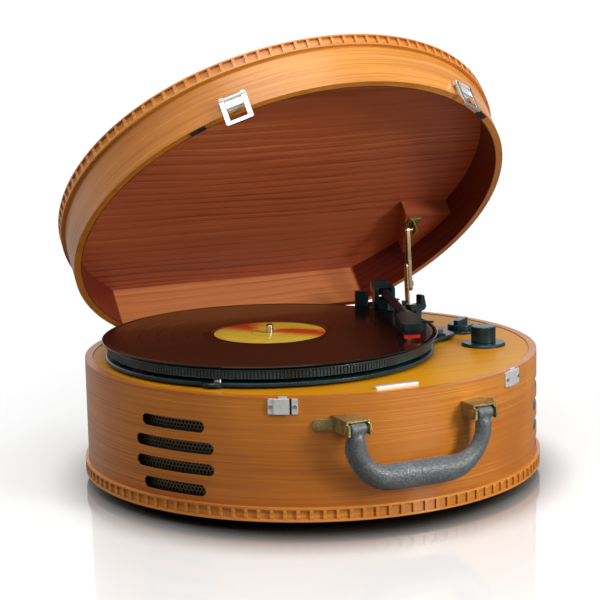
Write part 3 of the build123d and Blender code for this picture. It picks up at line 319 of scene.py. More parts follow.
def moulding_wood(name, on_lid):
    mat = Material(name)
    x, y, z = closed_lid(mat) if on_lid else mat.split(mat.coords)
    along, radius = polar(mat, x, y)
    colour, figure, relief = veneer(
        mat, along, z, radius * 0.5, ((172, 96, 26), (210, 130, 42), (234, 162, 68)),
        wave=0.003, rings=240.0)
    # painted shade: darker in the cut pockets, where shade falls
    pocket_shade = mat.step(radius, CASE_R + 0.0028, CASE_R + 0.0018)
    front = mat.step(y, REAR_Y - 0.006, REAR_Y - 0.010)
    colour = mat.mix(pocket_shade * front * 0.18, colour, srgb(150, 78, 30))
    return mat.finish(color=colour, rough=0.32 + figure * 0.14, coat=0.25, coat_rough=0.18,
                      normal=veneer_bump(mat, relief, bevel=0.0006))


def lid_wall_wood():
    """Veneer outside, pine painted dark round the inside as painted shade, and lighter pine inside
    the flat back.
    """
    mat = Material("lid_wall_wood")
    x, y, z = closed_lid(mat)
    along, radius = polar(mat, x, y)
    colour, figure, relief = veneer(
        mat, along, z, radius * 0.5, ((160, 86, 22), (198, 120, 36), (224, 152, 58)),
        wave=0.003, fine=1.5, rings=210.0, weights=(0.22, 0.36, 0.42))
    # painted shade: the pine round the inside of the lid gets dark tones
    shaded_pine, _ = pine(mat, along, z, radius * 0.5, ((86, 24, 14), (108, 35, 21), (120, 44, 27)),
                    pitch=150.0)
    rear, _ = pine(mat, x, z, 0.3, ((156, 84, 44), (204, 122, 66), (226, 148, 86)),
                   pitch=130.0)
    inner_y = REAR_Y - WALL
    inside = mat.step(radius, INNER_R + 0.0012, INNER_R + 0.0004)
    at_rear = (mat.step(y, inner_y - 0.0022, inner_y - 0.0004)
               * mat.step(y, inner_y + 0.0014, inner_y + 0.0006))
    colour = mat.mix(inside, colour, shaded_pine)
    colour = mat.mix(at_rear * inside, colour, rear)
    return mat.finish(color=colour, rough=0.30 + figure * 0.16, coat=0.26, coat_rough=0.18,
                      normal=veneer_bump(mat, relief, bevel=0.0007))


def lid_panel_wood():
    """Outside of the lid: veneer running across the top."""
    mat = Material("lid_panel_wood")
    colour, figure, relief = veneer(
        mat, *closed_lid(mat), ((162, 94, 32), (190, 120, 46), (210, 142, 64)),
        wave=0.014, fine=1.4, rings=130.0, weights=(0.22, 0.34, 0.44))
    return mat.finish(color=colour, rough=0.30 + figure * 0.16, coat=0.28, coat_rough=0.15,
                      normal=veneer_bump(mat, relief, bevel=0.0006))


def deck_wood():
    mat = Material("deck_wood")
    colour, figure, relief = veneer(
        mat, *mat.split(mat.coords), ((178, 110, 6), (204, 138, 9), (220, 156, 18)),
        wave=0.004, fine=1.4, rings=160.0, weights=(0.16, 0.34, 0.50))
    return mat.finish(color=colour, rough=0.34 + figure * 0.14, coat=0.0, coat_rough=0.3,
                      spec=0.14, normal=veneer_bump(mat, relief, bevel=0.0005, depth=0.00005))


def lining_wood(name, tones):
    mat = Material(name)
    x, y, z = closed_lid(mat)
    colour, streak = pine(mat, x, y, z * 1.0, tones)
    return mat.finish(color=colour, rough=0.42 + streak * 0.15, coat=0.12, coat_rough=0.3,
                      normal=mat.bump(streak, depth=0.00008, strength=0.45))


def plain_wood():
    mat = Material("plain_wood")
    colour, _, relief = veneer(
        mat, *mat.split(mat.coords), ((150, 112, 66), (186, 150, 98), (206, 174, 124)),
        wave=0.03, rings=50.0)
    return mat.finish(color=colour, rough=0.62, normal=veneer_bump(
        mat, relief, bevel=0.0005, strength=0.6, depth=0.0001))


# ---------------------------------------------------------------- metals
def metal(name, bright, dull, rough, scratch, spot=0.0, spot_color=None, metallic=1.0):
    """Two-tone metal; scratch varies its roughness and spot is the strength of its stains."""
    mat = Material(name)
    clouds = mat.noise(mat.coords, 55.0, detail=4.0, rough=0.6)
    grit = mat.noise(mat.coords, 900.0, detail=3.0, rough=0.6)
    brushed = mat.stretched(mat.split(mat.coords), (260.0, 2600.0, 900.0),
                            detail=3.0, rough=0.55)
    colour = mat.mix(mat.step(clouds, 0.35, 0.65), srgb(*bright), srgb(*dull))
    if spot:
        stains = mat.noise(mat.coords, 210.0, detail=4.0, rough=0.65)
        colour = mat.mix(mat.step(stains, 0.52, 0.66) * spot, colour, srgb(*spot_color))
    return mat.finish(color=colour, metal=metallic,
                      rough=rough + ((grit - 0.5) * scratch + (clouds - 0.5) * scratch),
                      normal=mat.bump(brushed + grit * 0.5, depth=0.00002, strength=0.35,
                                      bevel=0.0004))


def satin_chrome():
    """Bright brushed plate; the slit beside each catch is painted dark as painted shade."""
    mat = Material("chrome_satin")
    x, y, z = mat.split(mat.coords)
    along, radius = polar(mat, x, y)
    clouds = mat.noise(mat.coords, 60.0, detail=4.0, rough=0.6)
    grit = mat.noise(mat.coords, 900.0, detail=3.0, rough=0.6)
    brushed = mat.noise(mat.join(along * 240.0, z * 3200.0, 0.0), detail=3.0, rough=0.6)
    colour = mat.mix(mat.step(clouds, 0.35, 0.65), srgb(243, 243, 242), srgb(226, 228, 230))
    # painted shade: near black along the slit beside each catch
    slit_shade = mat.union(*[
        mat.step(abs(along - (math.radians(angle) * CASE_R + 0.0063)), 0.00100, 0.00088)
        for angle in (CATCH_ANGLE, -CATCH_ANGLE)])
    slit_shade = slit_shade * (mat.step(radius, CASE_R + 0.0008, CASE_R + 0.0006)
                   * mat.step(z, RIM_Z + 0.004, RIM_Z + 0.003))
    colour = mat.mix(slit_shade, colour, srgb(14, 13, 12))
    return mat.finish(color=colour, metal=(1.0 - slit_shade) * 0.5, rough=0.30 + (grit - 0.5) * 0.10,
                      normal=mat.bump(brushed + grit * 0.4, depth=0.00002, strength=0.35,
                                      bevel=0.0004))


def grille_mesh():
    mat = Material("mesh_black")
    grit = mat.noise(mat.coords, 800.0, detail=3.0, rough=0.6)
    return mat.finish(color=mat.mix(grit, srgb(92, 82, 66), srgb(168, 150, 122)), rough=0.30,
                      metal=0.80, normal=mat.bump(grit, depth=0.00003, strength=0.4))


def speaker_driver():
    """Steel frame and dark paper cone, told apart by distance from the case axis."""
    mat = Material("speaker_steel_and_paper")
    x, y, _ = mat.split(mat.coords)
    _, radius = polar(mat, x, y)
    fibre = mat.noise(mat.coords, 900.0, detail=4.0, rough=0.6)
    paper = mat.mix(fibre, srgb(26, 25, 24), srgb(52, 50, 48))
    clouds = mat.noise(mat.coords, 90.0, detail=3.0, rough=0.6)
    steel = mat.mix(clouds, srgb(120, 121, 122), srgb(160, 161, 162))
    is_paper = mat.step(radius, 0.1530, 0.1545)
    return mat.finish(color=mat.mix(is_paper, steel, paper), metal=(1.0 - is_paper) * 0.9,
                      rough=0.42 + is_paper * 0.35,
                      normal=mat.bump(fibre, depth=0.0001, strength=0.6, bevel=0.0005))


# ---------------------------------------------------------------- plastics, rubber, record, leather
def plastic(name, base, worn, rough, spec=0.5):
    mat = Material(name)
    clouds = mat.noise(mat.coords, 38.0, detail=3.0, rough=0.6)
    grit = mat.noise(mat.coords, 900.0)
    dust = mat.step(mat.noise(mat.coords, 420.0, detail=4.0, rough=0.7), 0.62, 0.75)
    colour = mat.mix(mat.step(clouds, 0.3, 0.7), srgb(*base), srgb(*worn))
    colour = mat.mix(dust * 0.10, colour, srgb(120, 126, 128))
    return mat.finish(color=colour, rough=rough + (clouds - 0.5) * 0.12, spec=spec, coat=0.0,
                      coat_rough=0.15, normal=mat.bump(grit, depth=0.00003, strength=0.5,
                                                       bevel=0.0004))


def red_plastic():
    mat = Material("stylus_red")
    clouds = mat.noise(mat.coords, 300.0, detail=3.0, rough=0.6)
    return mat.finish(color=mat.mix(clouds, srgb(205, 24, 14), srgb(232, 44, 26)), rough=0.28,
                      coat=0.4, coat_rough=0.1,
                      normal=mat.bump(clouds, depth=0.00003, strength=0.4, bevel=0.0003))


def black_rubber():
    mat = Material("rubber_black")
    clouds = mat.noise(mat.coords, 60.0, detail=3.0, rough=0.6)
    grit = mat.noise(mat.coords, 1300.0, detail=3.0, rough=0.6)
    return mat.finish(color=mat.mix(clouds, srgb(20, 20, 21), srgb(40, 40, 41)),
                      rough=0.62 + clouds * 0.2,
                      normal=mat.bump(grit, depth=0.00008, strength=0.6, bevel=0.0004))


def circuit_board():
    """Green board with lighter tracks; everything above the board is dark."""
    mat = Material("circuit_board")
    x, y, z = mat.split(mat.coords)
    cells = mat.voronoi(mat.join(x * 1.0, y * 1.0, 0.0), 220.0, "DISTANCE_TO_EDGE")
    track = mat.step(cells, 0.10, 0.05)
    colour = mat.mix(track, srgb(20, 74, 40), srgb(64, 128, 74))
    colour = mat.mix(mat.step(z, 0.0228, 0.0234), colour, srgb(40, 42, 48))
    return mat.finish(color=colour, rough=0.4,
                      normal=mat.bump(track, depth=0.00008, strength=0.6, bevel=0.0003))


def vinyl():
    mat = Material("vinyl_grooves")
    dx, dy, radius = from_spindle(mat)
    # recorded area between the lead-in and the run-out, with smooth gaps between tracks
    recorded = mat.step(radius, 0.0600, 0.0606) * mat.step(radius, 0.1466, 0.1460)
    gaps = mat.union(*[mat.step(abs(radius - gap), 0.0011, 0.0006)
                       for gap in (0.0745, 0.0880, 0.1015, 0.1175, 0.1330)])
    band = mat.noise(mat.join(radius * 900.0, 0.0, 0.0), detail=3.0, rough=0.7)
    groove = mat.noise(mat.join(radius * 5200.0, 0.0, 0.0), detail=1.0)
    music = recorded * (1.0 - gaps)
    lead_in = mat.step(abs(radius - 0.1485), 0.0006, 0.0003)
    height = music * (groove * 0.8 + band * 0.5) + lead_in * -0.5
    # highlights stretch along the grooves
    tangent = mat.node("VectorTransform", {0: mat.join(dy * -1.0, dx, 0.0)},
                       vector_type="VECTOR", convert_from="OBJECT", convert_to="WORLD")
    tangent = mat.node("VectorMath", {0: tangent}, operation="NORMALIZE")
    return mat.finish(color=mat.mix(music * (band * 0.9), srgb(15, 9, 8), srgb(33, 19, 14)),
                      rough=0.06 + music * (0.05 + band * 0.08), spec=0.32, ior=1.30,
                      aniso=music * 0.75, tangent=tangent, coat=0.05, coat_rough=0.05,
                      normal=mat.bump(height, depth=0.00002, strength=0.14))


def label_paper():
    """Plain yellow paper label with a red and orange swirl and thin printed rings."""
    mat = Material("label_paper")
    dx, dy, radius = from_spindle(mat)
    angle = mat.math("ARCTAN2", dy, dx)
    warp = mat.noise(mat.join(dx * 26.0, dy * 26.0, 4.0), detail=3.0, rough=0.6)
    # petals bent round the centre
    petals = mat.math("SINE", angle * 2.0 + (radius * 55.0 + (warp * 4.4 + -0.9)))
    right = mat.step(dx + dy * 0.8, -0.012, 0.020)
    red = mat.step(petals, -0.05, 0.55) * right
    orange = mat.step(petals, -0.65, 0.0) * right
    brush = mat.noise(mat.join(dx * 60.0, dy * 340.0, 0.0), detail=3.0, rough=0.6)
    colour = mat.mix(mat.step(brush, 0.45, 0.62), srgb(226, 196, 50), srgb(238, 214, 88))
    colour = mat.mix(orange * 0.85, colour, srgb(232, 130, 36))
    colour = mat.mix(red * 0.9, colour, srgb(196, 40, 22))
    outer_ring = mat.step(abs(radius - 0.0478), 0.0004, 0.0002)
    inner_ring = mat.step(abs(radius - 0.0165), 0.0005, 0.0003)
    colour = mat.mix(mat.union(outer_ring, inner_ring) * 0.6, colour, srgb(150, 40, 20))
    fibre = mat.noise(mat.coords, 1500.0, detail=3.0, rough=0.6)
    return mat.finish(color=colour, rough=0.42, spec=0.35,
                      normal=mat.bump(fibre, depth=0.00003, strength=0.4))


def handle_leather():
    mat = Material("handle_leather")
    pebbles = mat.voronoi(mat.coords, 640.0)
    fine_pebbles = mat.voronoi(mat.coords, 1500.0)
    tone = mat.noise(mat.coords, 42.0, detail=3.0, rough=0.6)
    wear = mat.step(mat.noise(mat.coords, 130.0, detail=4.0, rough=0.65), 0.50, 0.68)
    # painted shade: darker in the creases between the pebbles
    crease_shade = mat.step(pebbles, 0.30, 0.75)
    colour = mat.mix(tone, srgb(82, 89, 92), srgb(108, 115, 118))
    colour = mat.mix(crease_shade * 0.55, colour, srgb(50, 53, 56))
    colour = mat.mix(wear * 0.14, colour, srgb(152, 156, 156))
    height = (1.0 - pebbles) * 1.0 + (1.0 - fine_pebbles) * 0.25
    return mat.finish(color=colour, rough=0.28 + crease_shade * 0.22, spec=0.6, sheen=0.10,
                      normal=mat.bump(height, depth=0.00030, strength=0.80))


def handle_thread():
    mat = Material("handle_thread")
    x, y, z = mat.split(mat.coords)
    twist = mat.math("SINE", (x + y + z) * 9000.0)
    colour = mat.mix(mat.noise(mat.coords, 700.0), srgb(112, 106, 102), srgb(164, 158, 152))
    return mat.finish(color=colour, rough=0.7,
                      normal=mat.bump(twist, depth=0.00006, strength=0.5))


# ---------------------------------------------------------------- materials onto the CAD pieces
RUBBER = black_rubber()
PLATTER_PLASTIC = plastic("platter_plastic", (20, 48, 56), (34, 76, 88), rough=0.24, spec=0.8)
LEATHER = handle_leather()
THREAD = handle_thread()
GRILLE_MESH = grille_mesh()

# material, then the pieces that wear it; any other piece is rubber
PIECES = [
    (case_wood(), "case_wall"),
    (moulding_wood("base_moulding_wood", on_lid=False), "base_moulding"),
    (moulding_wood("lid_moulding_wood", on_lid=True), "lid_moulding"),
    (lid_wall_wood(), "lid_wall"),
    (lid_panel_wood(), "lid_panel"),
    (deck_wood(), "deck_panel"),
    (lining_wood("lid_lining_wood", ((138, 62, 40), (196, 100, 62), (228, 138, 88))),
     "lid_liner"),
    (lining_wood("stay_block_wood", ((120, 52, 34), (186, 92, 58), (214, 124, 80))),
     "stay_block"),
    (plain_wood(), "floor_panel deck_blocks"),
    (metal("chrome_polished", (228, 228, 230), (200, 203, 208), rough=0.07, scratch=0.05),
     "latch_bail_left latch_bail_right hinge_leaves_base hinge_leaves_lid hinge_pins "
     "base_screws lid_screws spindle"),
    (satin_chrome(), "latch_strikes badge_bar latch_plates"),
    (metal("antique_brass", (176, 160, 104), (136, 124, 78), rough=0.26, scratch=0.14,
           spot=0.45, spot_color=(70, 66, 46), metallic=0.62),
     "handle_brackets handle_fasteners stay_bracket_lid"),
    (metal("stay_brass", (176, 158, 128), (140, 118, 88), rough=0.28, scratch=0.10,
           spot=0.18, spot_color=(110, 92, 62)), "stay_arm_lower stay_arm_upper"),
    (plastic("black_plastic", (10, 32, 38), (20, 52, 60), rough=0.28, spec=0.45),
     "turntable_chassis tonearm_base tonearm_yoke counterweight cartridge arm_rest cue_lever "
     "cue_lift control_bezels volume_knob speed_selector rear_socket_plate "
     "stay_bracket_base"),
    (plastic("arm_plastic", (10, 28, 33), (18, 44, 52), rough=0.42, spec=0.22),
     "headshell tonearm_tube"),
    (plastic("grey_plastic", (66, 78, 84), (92, 106, 112), rough=0.34), "stop_button"),
    (red_plastic(), "stylus"),
    (vinyl(), "record_disc"),
    (label_paper(), "record_label"),
    (metal("zinc_steel", (150, 152, 154), (120, 122, 125), rough=0.32, scratch=0.14),
     "tonearm_pivot_pin drive_motor control_pots"),
    (speaker_driver(), "speaker_drivers"),
    (circuit_board(), "amp_board"),
    (metal("nickel", (190, 184, 168), (160, 152, 134), rough=0.18, scratch=0.1),
     "rear_sockets"),
    (metal("turned_aluminium", (196, 198, 202), (170, 172, 178), rough=0.26, scratch=0.12),
     "motor_pulley"),
]
material_of = {name: material for material, names in PIECES for name in names.split()}
for name, cad_piece in NODES.items():
    cad_piece.data.materials.clear()
    cad_piece.data.materials.append(material_of.get(name, RUBBER))


# ---------------------------------------------------------------- mesh helpers
def shade(mesh, sharp_angle):
    """Weld the mesh and shade it smooth, with hard edges above sharp_angle degrees."""
    shell = bmesh.new()
    shell.from_mesh(mesh)
    bmesh.ops.remove_doubles(shell, verts=shell.verts, dist=1e-7)
    bmesh.ops.recalc_face_normals(shell, faces=shell.faces)
    limit = math.radians(sharp_angle)
    for face in shell.faces:
        face.smooth = True
    for edge in shell.edges:
        edge.smooth = not (len(edge.link_faces) == 2 and edge.calc_face_angle(0.0) > limit)
    shell.to_mesh(mesh)
    shell.free()


def place(name, mesh, material, body, replaces=None):
    """Add the mesh as an object that moves with a body and fills a material slot."""
    mesh.materials.append(material)
    part = bpy.data.objects.new(name, mesh)
    bpy.context.scene.collection.objects.link(part)
    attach(part, body)
    if replaces:
        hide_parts(replaces)


def build(name, shape, material, body, sharp_angle, replaces=None):
    verts, faces = shape
    mesh = bpy.data.meshes.new(name)
    mesh.from_pydata([tuple(point) for point in verts], [], faces)
    mesh.update()
    shade(mesh, sharp_angle)
    place(name, mesh, material, body, replaces)


def skin(rows, row_loop=True, closed=True):
    """Quads between rows of points. row_loop closes each row, closed joins the last row to
    the first; otherwise both end rows are capped."""
    verts = [point for row in rows for point in row]
    count, size = len(rows), len(rows[0])
    faces = []
    for i in range(count if closed else count - 1):
        j = (i + 1) % count
        for k in range(size if row_loop else size - 1):
            l = (k + 1) % size
            faces.append((i * size + k, j * size + k, j * size + l, i * size + l))
    if not closed:
        faces.append(tuple(range(size)))
        faces.append(tuple((count - 1) * size + k for k in range(size)))
    return verts, faces


def lathe(profile, segments, centre_x, centre_y, radius_at=lambda i, k, radius: radius):
    """Closed profile of (radius, z) turned about a vertical axis."""
    rows = []
    for i in range(segments):
        angle = 2 * math.pi * i / segments
        cosine, sine = math.cos(angle), math.sin(angle)
        row = []
        for k, (radius, z) in enumerate(profile):
            radius = radius_at(i, k, radius)
            row.append((centre_x + radius * cosine, centre_y + radius * sine, z))
        rows.append(row)
    return skin(rows)


def merge(shapes):
    verts, faces = [], []
    for shape_verts, shape_faces in shapes:
        base = len(verts)
        verts += shape_verts
        faces += [tuple(index + base for index in face) for face in shape_faces]
    return verts, faces


# ---------------------------------------------------------------- platter with its ribbed edge
PLATTER_LOW, PLATTER_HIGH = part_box("platter")
BELT_RIM_R = 0.0610                       # ring under the platter that carries the belt
RIBS = 300
RIB_DEPTH = 0.0013


def platter():
    outer = PLATTER_HIGH.x - SPINDLE.x
    bottom, top = PLATTER_LOW.z, PLATTER_HIGH.z
    skirt = top - 0.0085
    profile = [                           # radius, z
        (0.0037, top), (outer - 0.0060, top), (outer - 0.0006, top),
        (outer, top - 0.0006), (outer, top - 0.0014), (outer - 0.0002, top - 0.0019),
        (outer - 0.0002, skirt + 0.0010), (outer - 0.0004, skirt + 0.0004),
        (outer - 0.0010, skirt), (outer - 0.0042, skirt), (outer - 0.0050, top - 0.003),
        (BELT_RIM_R, top - 0.003), (BELT_RIM_R, bottom + 0.001), (0.0580, bottom + 0.001),
        (0.0580, top - 0.003), (0.010, top - 0.003), (0.010, bottom), (0.0037, bottom),
    ]

    def ribbed(i, k, radius):
        """Cut the three skirt points back for two of every four segments."""
        return radius - RIB_DEPTH if k in (5, 6, 7) and i % 4 in (2, 3) else radius

    return lathe(profile, RIBS * 4, SPINDLE.x, SPINDLE.y, ribbed)


build("platter_ribbed", platter(), PLATTER_PLASTIC, "turntable",
      sharp_angle=25.0, replaces="platter")


# ---------------------------------------------------------------- rubber mat with raised rings
def platter_mat():
    low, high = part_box("platter_mat")
    bottom, ridge = low.z + 0.00005, high.z - 0.00005
    valley = high.z - 0.0005
    profile = [(0.0052, bottom), (0.0052, valley)]
    radius = 0.012
    while radius < 0.138:
        profile += [(radius, valley), (radius + 0.0004, ridge), (radius + 0.0016, ridge),
                    (radius + 0.0020, valley)]
        radius += 0.0060
    profile += [(0.1418, valley), (0.1424, low.z + 0.0004), (0.1424, bottom)]
    return lathe(profile, 192, SPINDLE.x, SPINDLE.y)


build("platter_mat_ringed", platter_mat(), RUBBER, "turntable",
      sharp_angle=25.0, replaces="platter_mat")

# ---------------------------------------------------------------- drive belt
PULLEY_R = 0.0062
BELT_SECTION = [                          # outward, up
    (0.0001, -0.00145), (0.0008, -0.0013), (0.0009, 0.0),
    (0.0008, 0.0013), (0.0001, 0.00145), (0.00005, 0.0),
]


def drive_belt():
    low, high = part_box("drive_belt")
    centre_z = (low.z + high.z) / 2
    pulley = middle("motor_pulley")
    offset = Vector((pulley.x - SPINDLE.x, pulley.y - SPINDLE.y))
    heading = math.atan2(offset.y, offset.x)
    spread = math.acos((BELT_RIM_R - PULLEY_R) / offset.length)
    loop = []                             # centre, radius, angle
    for i in range(97):
        angle = heading + spread + (2 * math.pi - 2 * spread) * i / 96
        loop.append((SPINDLE, BELT_RIM_R, angle))
    for i in range(25):
        loop.append((pulley, PULLEY_R, heading - spread + 2 * spread * i / 24))
    return skin([[(centre.x + (radius + out) * math.cos(angle),
                   centre.y + (radius + out) * math.sin(angle), centre_z + up)
                  for out, up in BELT_SECTION] for centre, radius, angle in loop])


build("drive_belt_band", drive_belt(), RUBBER, "case",
      sharp_angle=40.0, replaces="drive_belt")

# ---------------------------------------------------------------- rubber feet
FOOT_INSET = 0.0155                       # foot axis from the edge of the feet's box


def rubber_feet():
    low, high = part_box("rubber_feet")
    foot_x = abs(low.x) - FOOT_INSET
    profile = [                           # radius, z
        (0.0027, high.z), (0.0154, high.z), (0.01545, high.z - 0.0006), (0.0150, 0.0050),
        (0.0147, 0.0046), (0.0146, 0.0038), (0.0149, 0.0032), (0.0144, 0.0010),
        (0.0139, 0.0003), (0.0130, 0.0), (0.0075, 0.0), (0.0071, 0.0003),
        (0.0070, 0.0040), (0.0027, 0.0040),
    ]
    return merge([lathe(profile, 48, side * foot_x, y) for side in (-1, 1)
                  for y in (low.y + FOOT_INSET, high.y - FOOT_INSET)])


build("rubber_feet_turned", rubber_feet(), RUBBER, "case",
      sharp_angle=40.0, replaces="rubber_feet")

# ---------------------------------------------------------------- waisted chassis grommets
GROMMETS = [(-0.1375, -0.1125), (0.040, -0.080), (-0.132, 0.084), (0.066, 0.088)]
#          x, and y from the case axis


def chassis_grommets():
    low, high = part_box("chassis_grommets")
    bottom, top = low.z, high.z
    profile = [                           # radius, z
        (0.0023, bottom), (0.0070, bottom), (0.0070, bottom + 0.0005),
        (0.0060, bottom + 0.0008), (0.0060, top - 0.0008), (0.0070, top - 0.0005),
        (0.0070, top), (0.0023, top),
    ]
    return merge([lathe(profile, 32, x, CASE_Y + y) for x, y in GROMMETS])


build("chassis_grommets_waisted", chassis_grommets(), RUBBER, "case",
      sharp_angle=40.0, replaces="chassis_grommets")

# ---------------------------------------------------------------- perforated speaker grilles
GRILLE_LOW, GRILLE_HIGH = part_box("speaker_grilles")
GRILLE_OUT = INNER_R - 0.0001
GRILLE_IN = GRILLE_OUT - 0.0009
HOLE_PITCH = 0.0036
HOLE_R = 0.00140
HOLE_FLARE = 1.12                         # widening of the hole at the outer face
GRILLE_HALF = math.radians(14.4) * GRILLE_OUT   # half the arc length of one grille


def grille_cell(side, along, z):
    """One hexagonal cell with its round hole."""
    def point(du, dz, radius):
        angle = math.radians(side * SLOT_ANGLE) + (along + du) / GRILLE_OUT
        return (radius * math.sin(angle), CASE_Y - radius * math.cos(angle), z + dz)

    rows = []
    for k in range(12):
        angle = math.pi / 6 * k + math.pi / 6
        reach = HOLE_PITCH / math.sqrt(3) * (1.0 if k % 2 == 0 else math.cos(math.pi / 6))
        hole_u, hole_z = HOLE_R * math.cos(angle), HOLE_R * math.sin(angle)
        rows.append([
            point(reach * math.cos(angle), reach * math.sin(angle), GRILLE_OUT),
            point(hole_u * HOLE_FLARE, hole_z * HOLE_FLARE, GRILLE_OUT),
            point(hole_u, hole_z, GRILLE_OUT - 0.0003),
            point(hole_u, hole_z, GRILLE_IN)])
    return skin(rows, row_loop=False)


def grille(side):
    cells = []
    z, row = GRILLE_LOW.z + 0.004, 0
    while z < GRILLE_HIGH.z - 0.003:
        along = -GRILLE_HALF + 0.003 + (HOLE_PITCH / 2 if row % 2 else 0.0)
        while along < GRILLE_HALF - 0.003:
            cells.append(grille_cell(side, along, z))
            along += HOLE_PITCH
        z += HOLE_PITCH * math.sqrt(3) / 2
        row += 1
    return merge(cells)


build("speaker_grilles_perforated", merge([grille(-1), grille(1)]), GRILLE_MESH, "case",
      sharp_angle=40.0, replaces="speaker_grilles")

# ---------------------------------------------------------------- leather handle
HANDLE_LOW, HANDLE_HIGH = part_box("handle_grip")
HANDLE_X = (HANDLE_LOW.x + HANDLE_HIGH.x) / 2
HANDLE_Y = (HANDLE_LOW.y + HANDLE_HIGH.y) / 2
PIVOT_Z = HANDLE_HIGH.z - 0.0054
GRIP_Z = HANDLE_LOW.z + 0.011             # centreline of the grip
PIVOT_HALF = 0.058                        # half the pivot spacing
BEND_R = 0.033
# lengths along the centreline, from the middle of the grip to one pivot
BAR = PIVOT_HALF - BEND_R
ARC = math.pi / 2 * BEND_R
HALF_LENGTH = BAR + ARC + (PIVOT_Z - GRIP_Z - BEND_R)
Y_AXIS = Vector((0, 1, 0))


def handle_path(steps):
    """(point, outward normal, signed length from the middle) along the U of the handle."""
    path = []
    for i in range(steps + 1):
        length = -HALF_LENGTH + 2 * HALF_LENGTH * i / steps
        run, side = abs(length), (1 if length >= 0 else -1)
        if run <= BAR:
            x, z, normal_x, normal_z = run, GRIP_Z, 0.0, -1.0
        elif run <= BAR + ARC:
            angle = (run - BAR) / BEND_R
            x = BAR + BEND_R * math.sin(angle)
            z = GRIP_Z + BEND_R * (1 - math.cos(angle))
            normal_x, normal_z = math.sin(angle), -math.cos(angle)
        else:
            x, z = PIVOT_HALF, GRIP_Z + BEND_R + (run - BAR - ARC)
            normal_x, normal_z = 1.0, 0.0
        path.append((Vector((HANDLE_X + side * x, HANDLE_Y, z)),
                     Vector((side * normal_x, 0.0, normal_z)), length))
    return path


def grip_radius(length):
    """Thick in the middle, thinner up the arms and pinched at the pivots."""
    t = min(max((abs(length) - 0.018) / 0.044, 0.0), 1.0)
    radius = 0.0069 + 0.0041 * (1.0 - t * t * (3.0 - 2.0 * t))
    end = min(max((HALF_LENGTH - abs(length) - 0.0025) / 0.0065, 0.0), 1.0)
    return radius * (0.73 + 0.27 * end * end * (3.0 - 2.0 * end))


def grip_tube():
    rows = []
    for point, outward, length in handle_path(150):
        radius = grip_radius(length)
        angles = [2 * math.pi * k / 48 for k in range(48)]
        rows.append([point + outward * (radius * math.cos(angle))
                     + Y_AXIS * (radius * 0.96 * math.sin(angle)) for angle in angles])
    return skin(rows, closed=False)


EYE_PROFILE = [                           # radius from the pivot, x
    (0.0026, -0.0070), (0.0047, -0.0070), (0.0053, -0.0063),
    (0.0053, 0.0063), (0.0047, 0.0070), (0.0026, 0.0070),
]


def handle_eye(centre_x):
    """Rounded leather loop round the pivot pin, axis along X."""
    angles = [2 * math.pi * i / 40 for i in range(40)]
    return skin([[Vector((centre_x + x, HANDLE_Y + radius * math.cos(angle),
                          PIVOT_Z + radius * math.sin(angle)))
                  for radius, x in EYE_PROFILE] for angle in angles])


def fused(name, shape, voxel):
    """One skin over overlapping solids, slightly smoothed."""
    verts, faces = shape
    mesh = bpy.data.meshes.new(name)
    mesh.from_pydata([tuple(point) for point in verts], [], faces)
    shell = bmesh.new()
    shell.from_mesh(mesh)
    bmesh.ops.recalc_face_normals(shell, faces=shell.faces)
    shell.to_mesh(mesh)
    shell.free()
    source = bpy.data.objects.new(name, mesh)
    bpy.context.scene.collection.objects.link(source)
    fuse = source.modifiers.new("fuse", "REMESH")
    fuse.mode, fuse.voxel_size = "VOXEL", voxel
    ease = source.modifiers.new("ease", "SMOOTH")
    ease.iterations, ease.factor = 6, 0.5
    depsgraph = bpy.context.evaluated_depsgraph_get()
    result = bpy.data.meshes.new_from_object(source.evaluated_get(depsgraph))
    bpy.data.objects.remove(source)
    return result


def handle_cover():
    mesh = fused("handle_src", merge([grip_tube(), handle_eye(HANDLE_X - PIVOT_HALF),
                                      handle_eye(HANDLE_X + PIVOT_HALF)]), voxel=0.00075)
    mesh.update()
    # pebbled hide: each point moves along its normal by a fixed cell pattern and slow folds
    normals = [vertex.normal.copy() for vertex in mesh.vertices]
    for vertex, normal in zip(mesh.vertices, normals):
        distances, _ = noise.voronoi(vertex.co * 560.0, distance_metric="DISTANCE")
        pebble = distances[1] - distances[0]
        fold = noise.noise(vertex.co * 90.0)
        vertex.co += normal * (0.00010 * min(pebble, 0.5) * 2.0 - 0.00010 + 0.00012 * fold)
    for face in mesh.polygons:
        face.use_smooth = True
    mesh.materials.clear()
    return mesh


place("handle_leather_cover", handle_cover(), LEATHER, "handle", "handle_grip")

SEAM_LEAN = math.radians(28)              # from the outward normal towards +Y
SEAM_SINK = 0.985                         # seam root as a share of the grip radius
SEAM_WIDTH = 0.0044
SEAM_HALF_THICK = 0.0011
SEAM_ROOT = -0.0030


def seam_axes(outward):
    """Directions out along the seam and through its thickness."""
    out = outward * math.cos(SEAM_LEAN) + Y_AXIS * math.sin(SEAM_LEAN)
    through = -outward * math.sin(SEAM_LEAN) + Y_AXIS * math.cos(SEAM_LEAN)
    return out.normalized(), through.normalized()


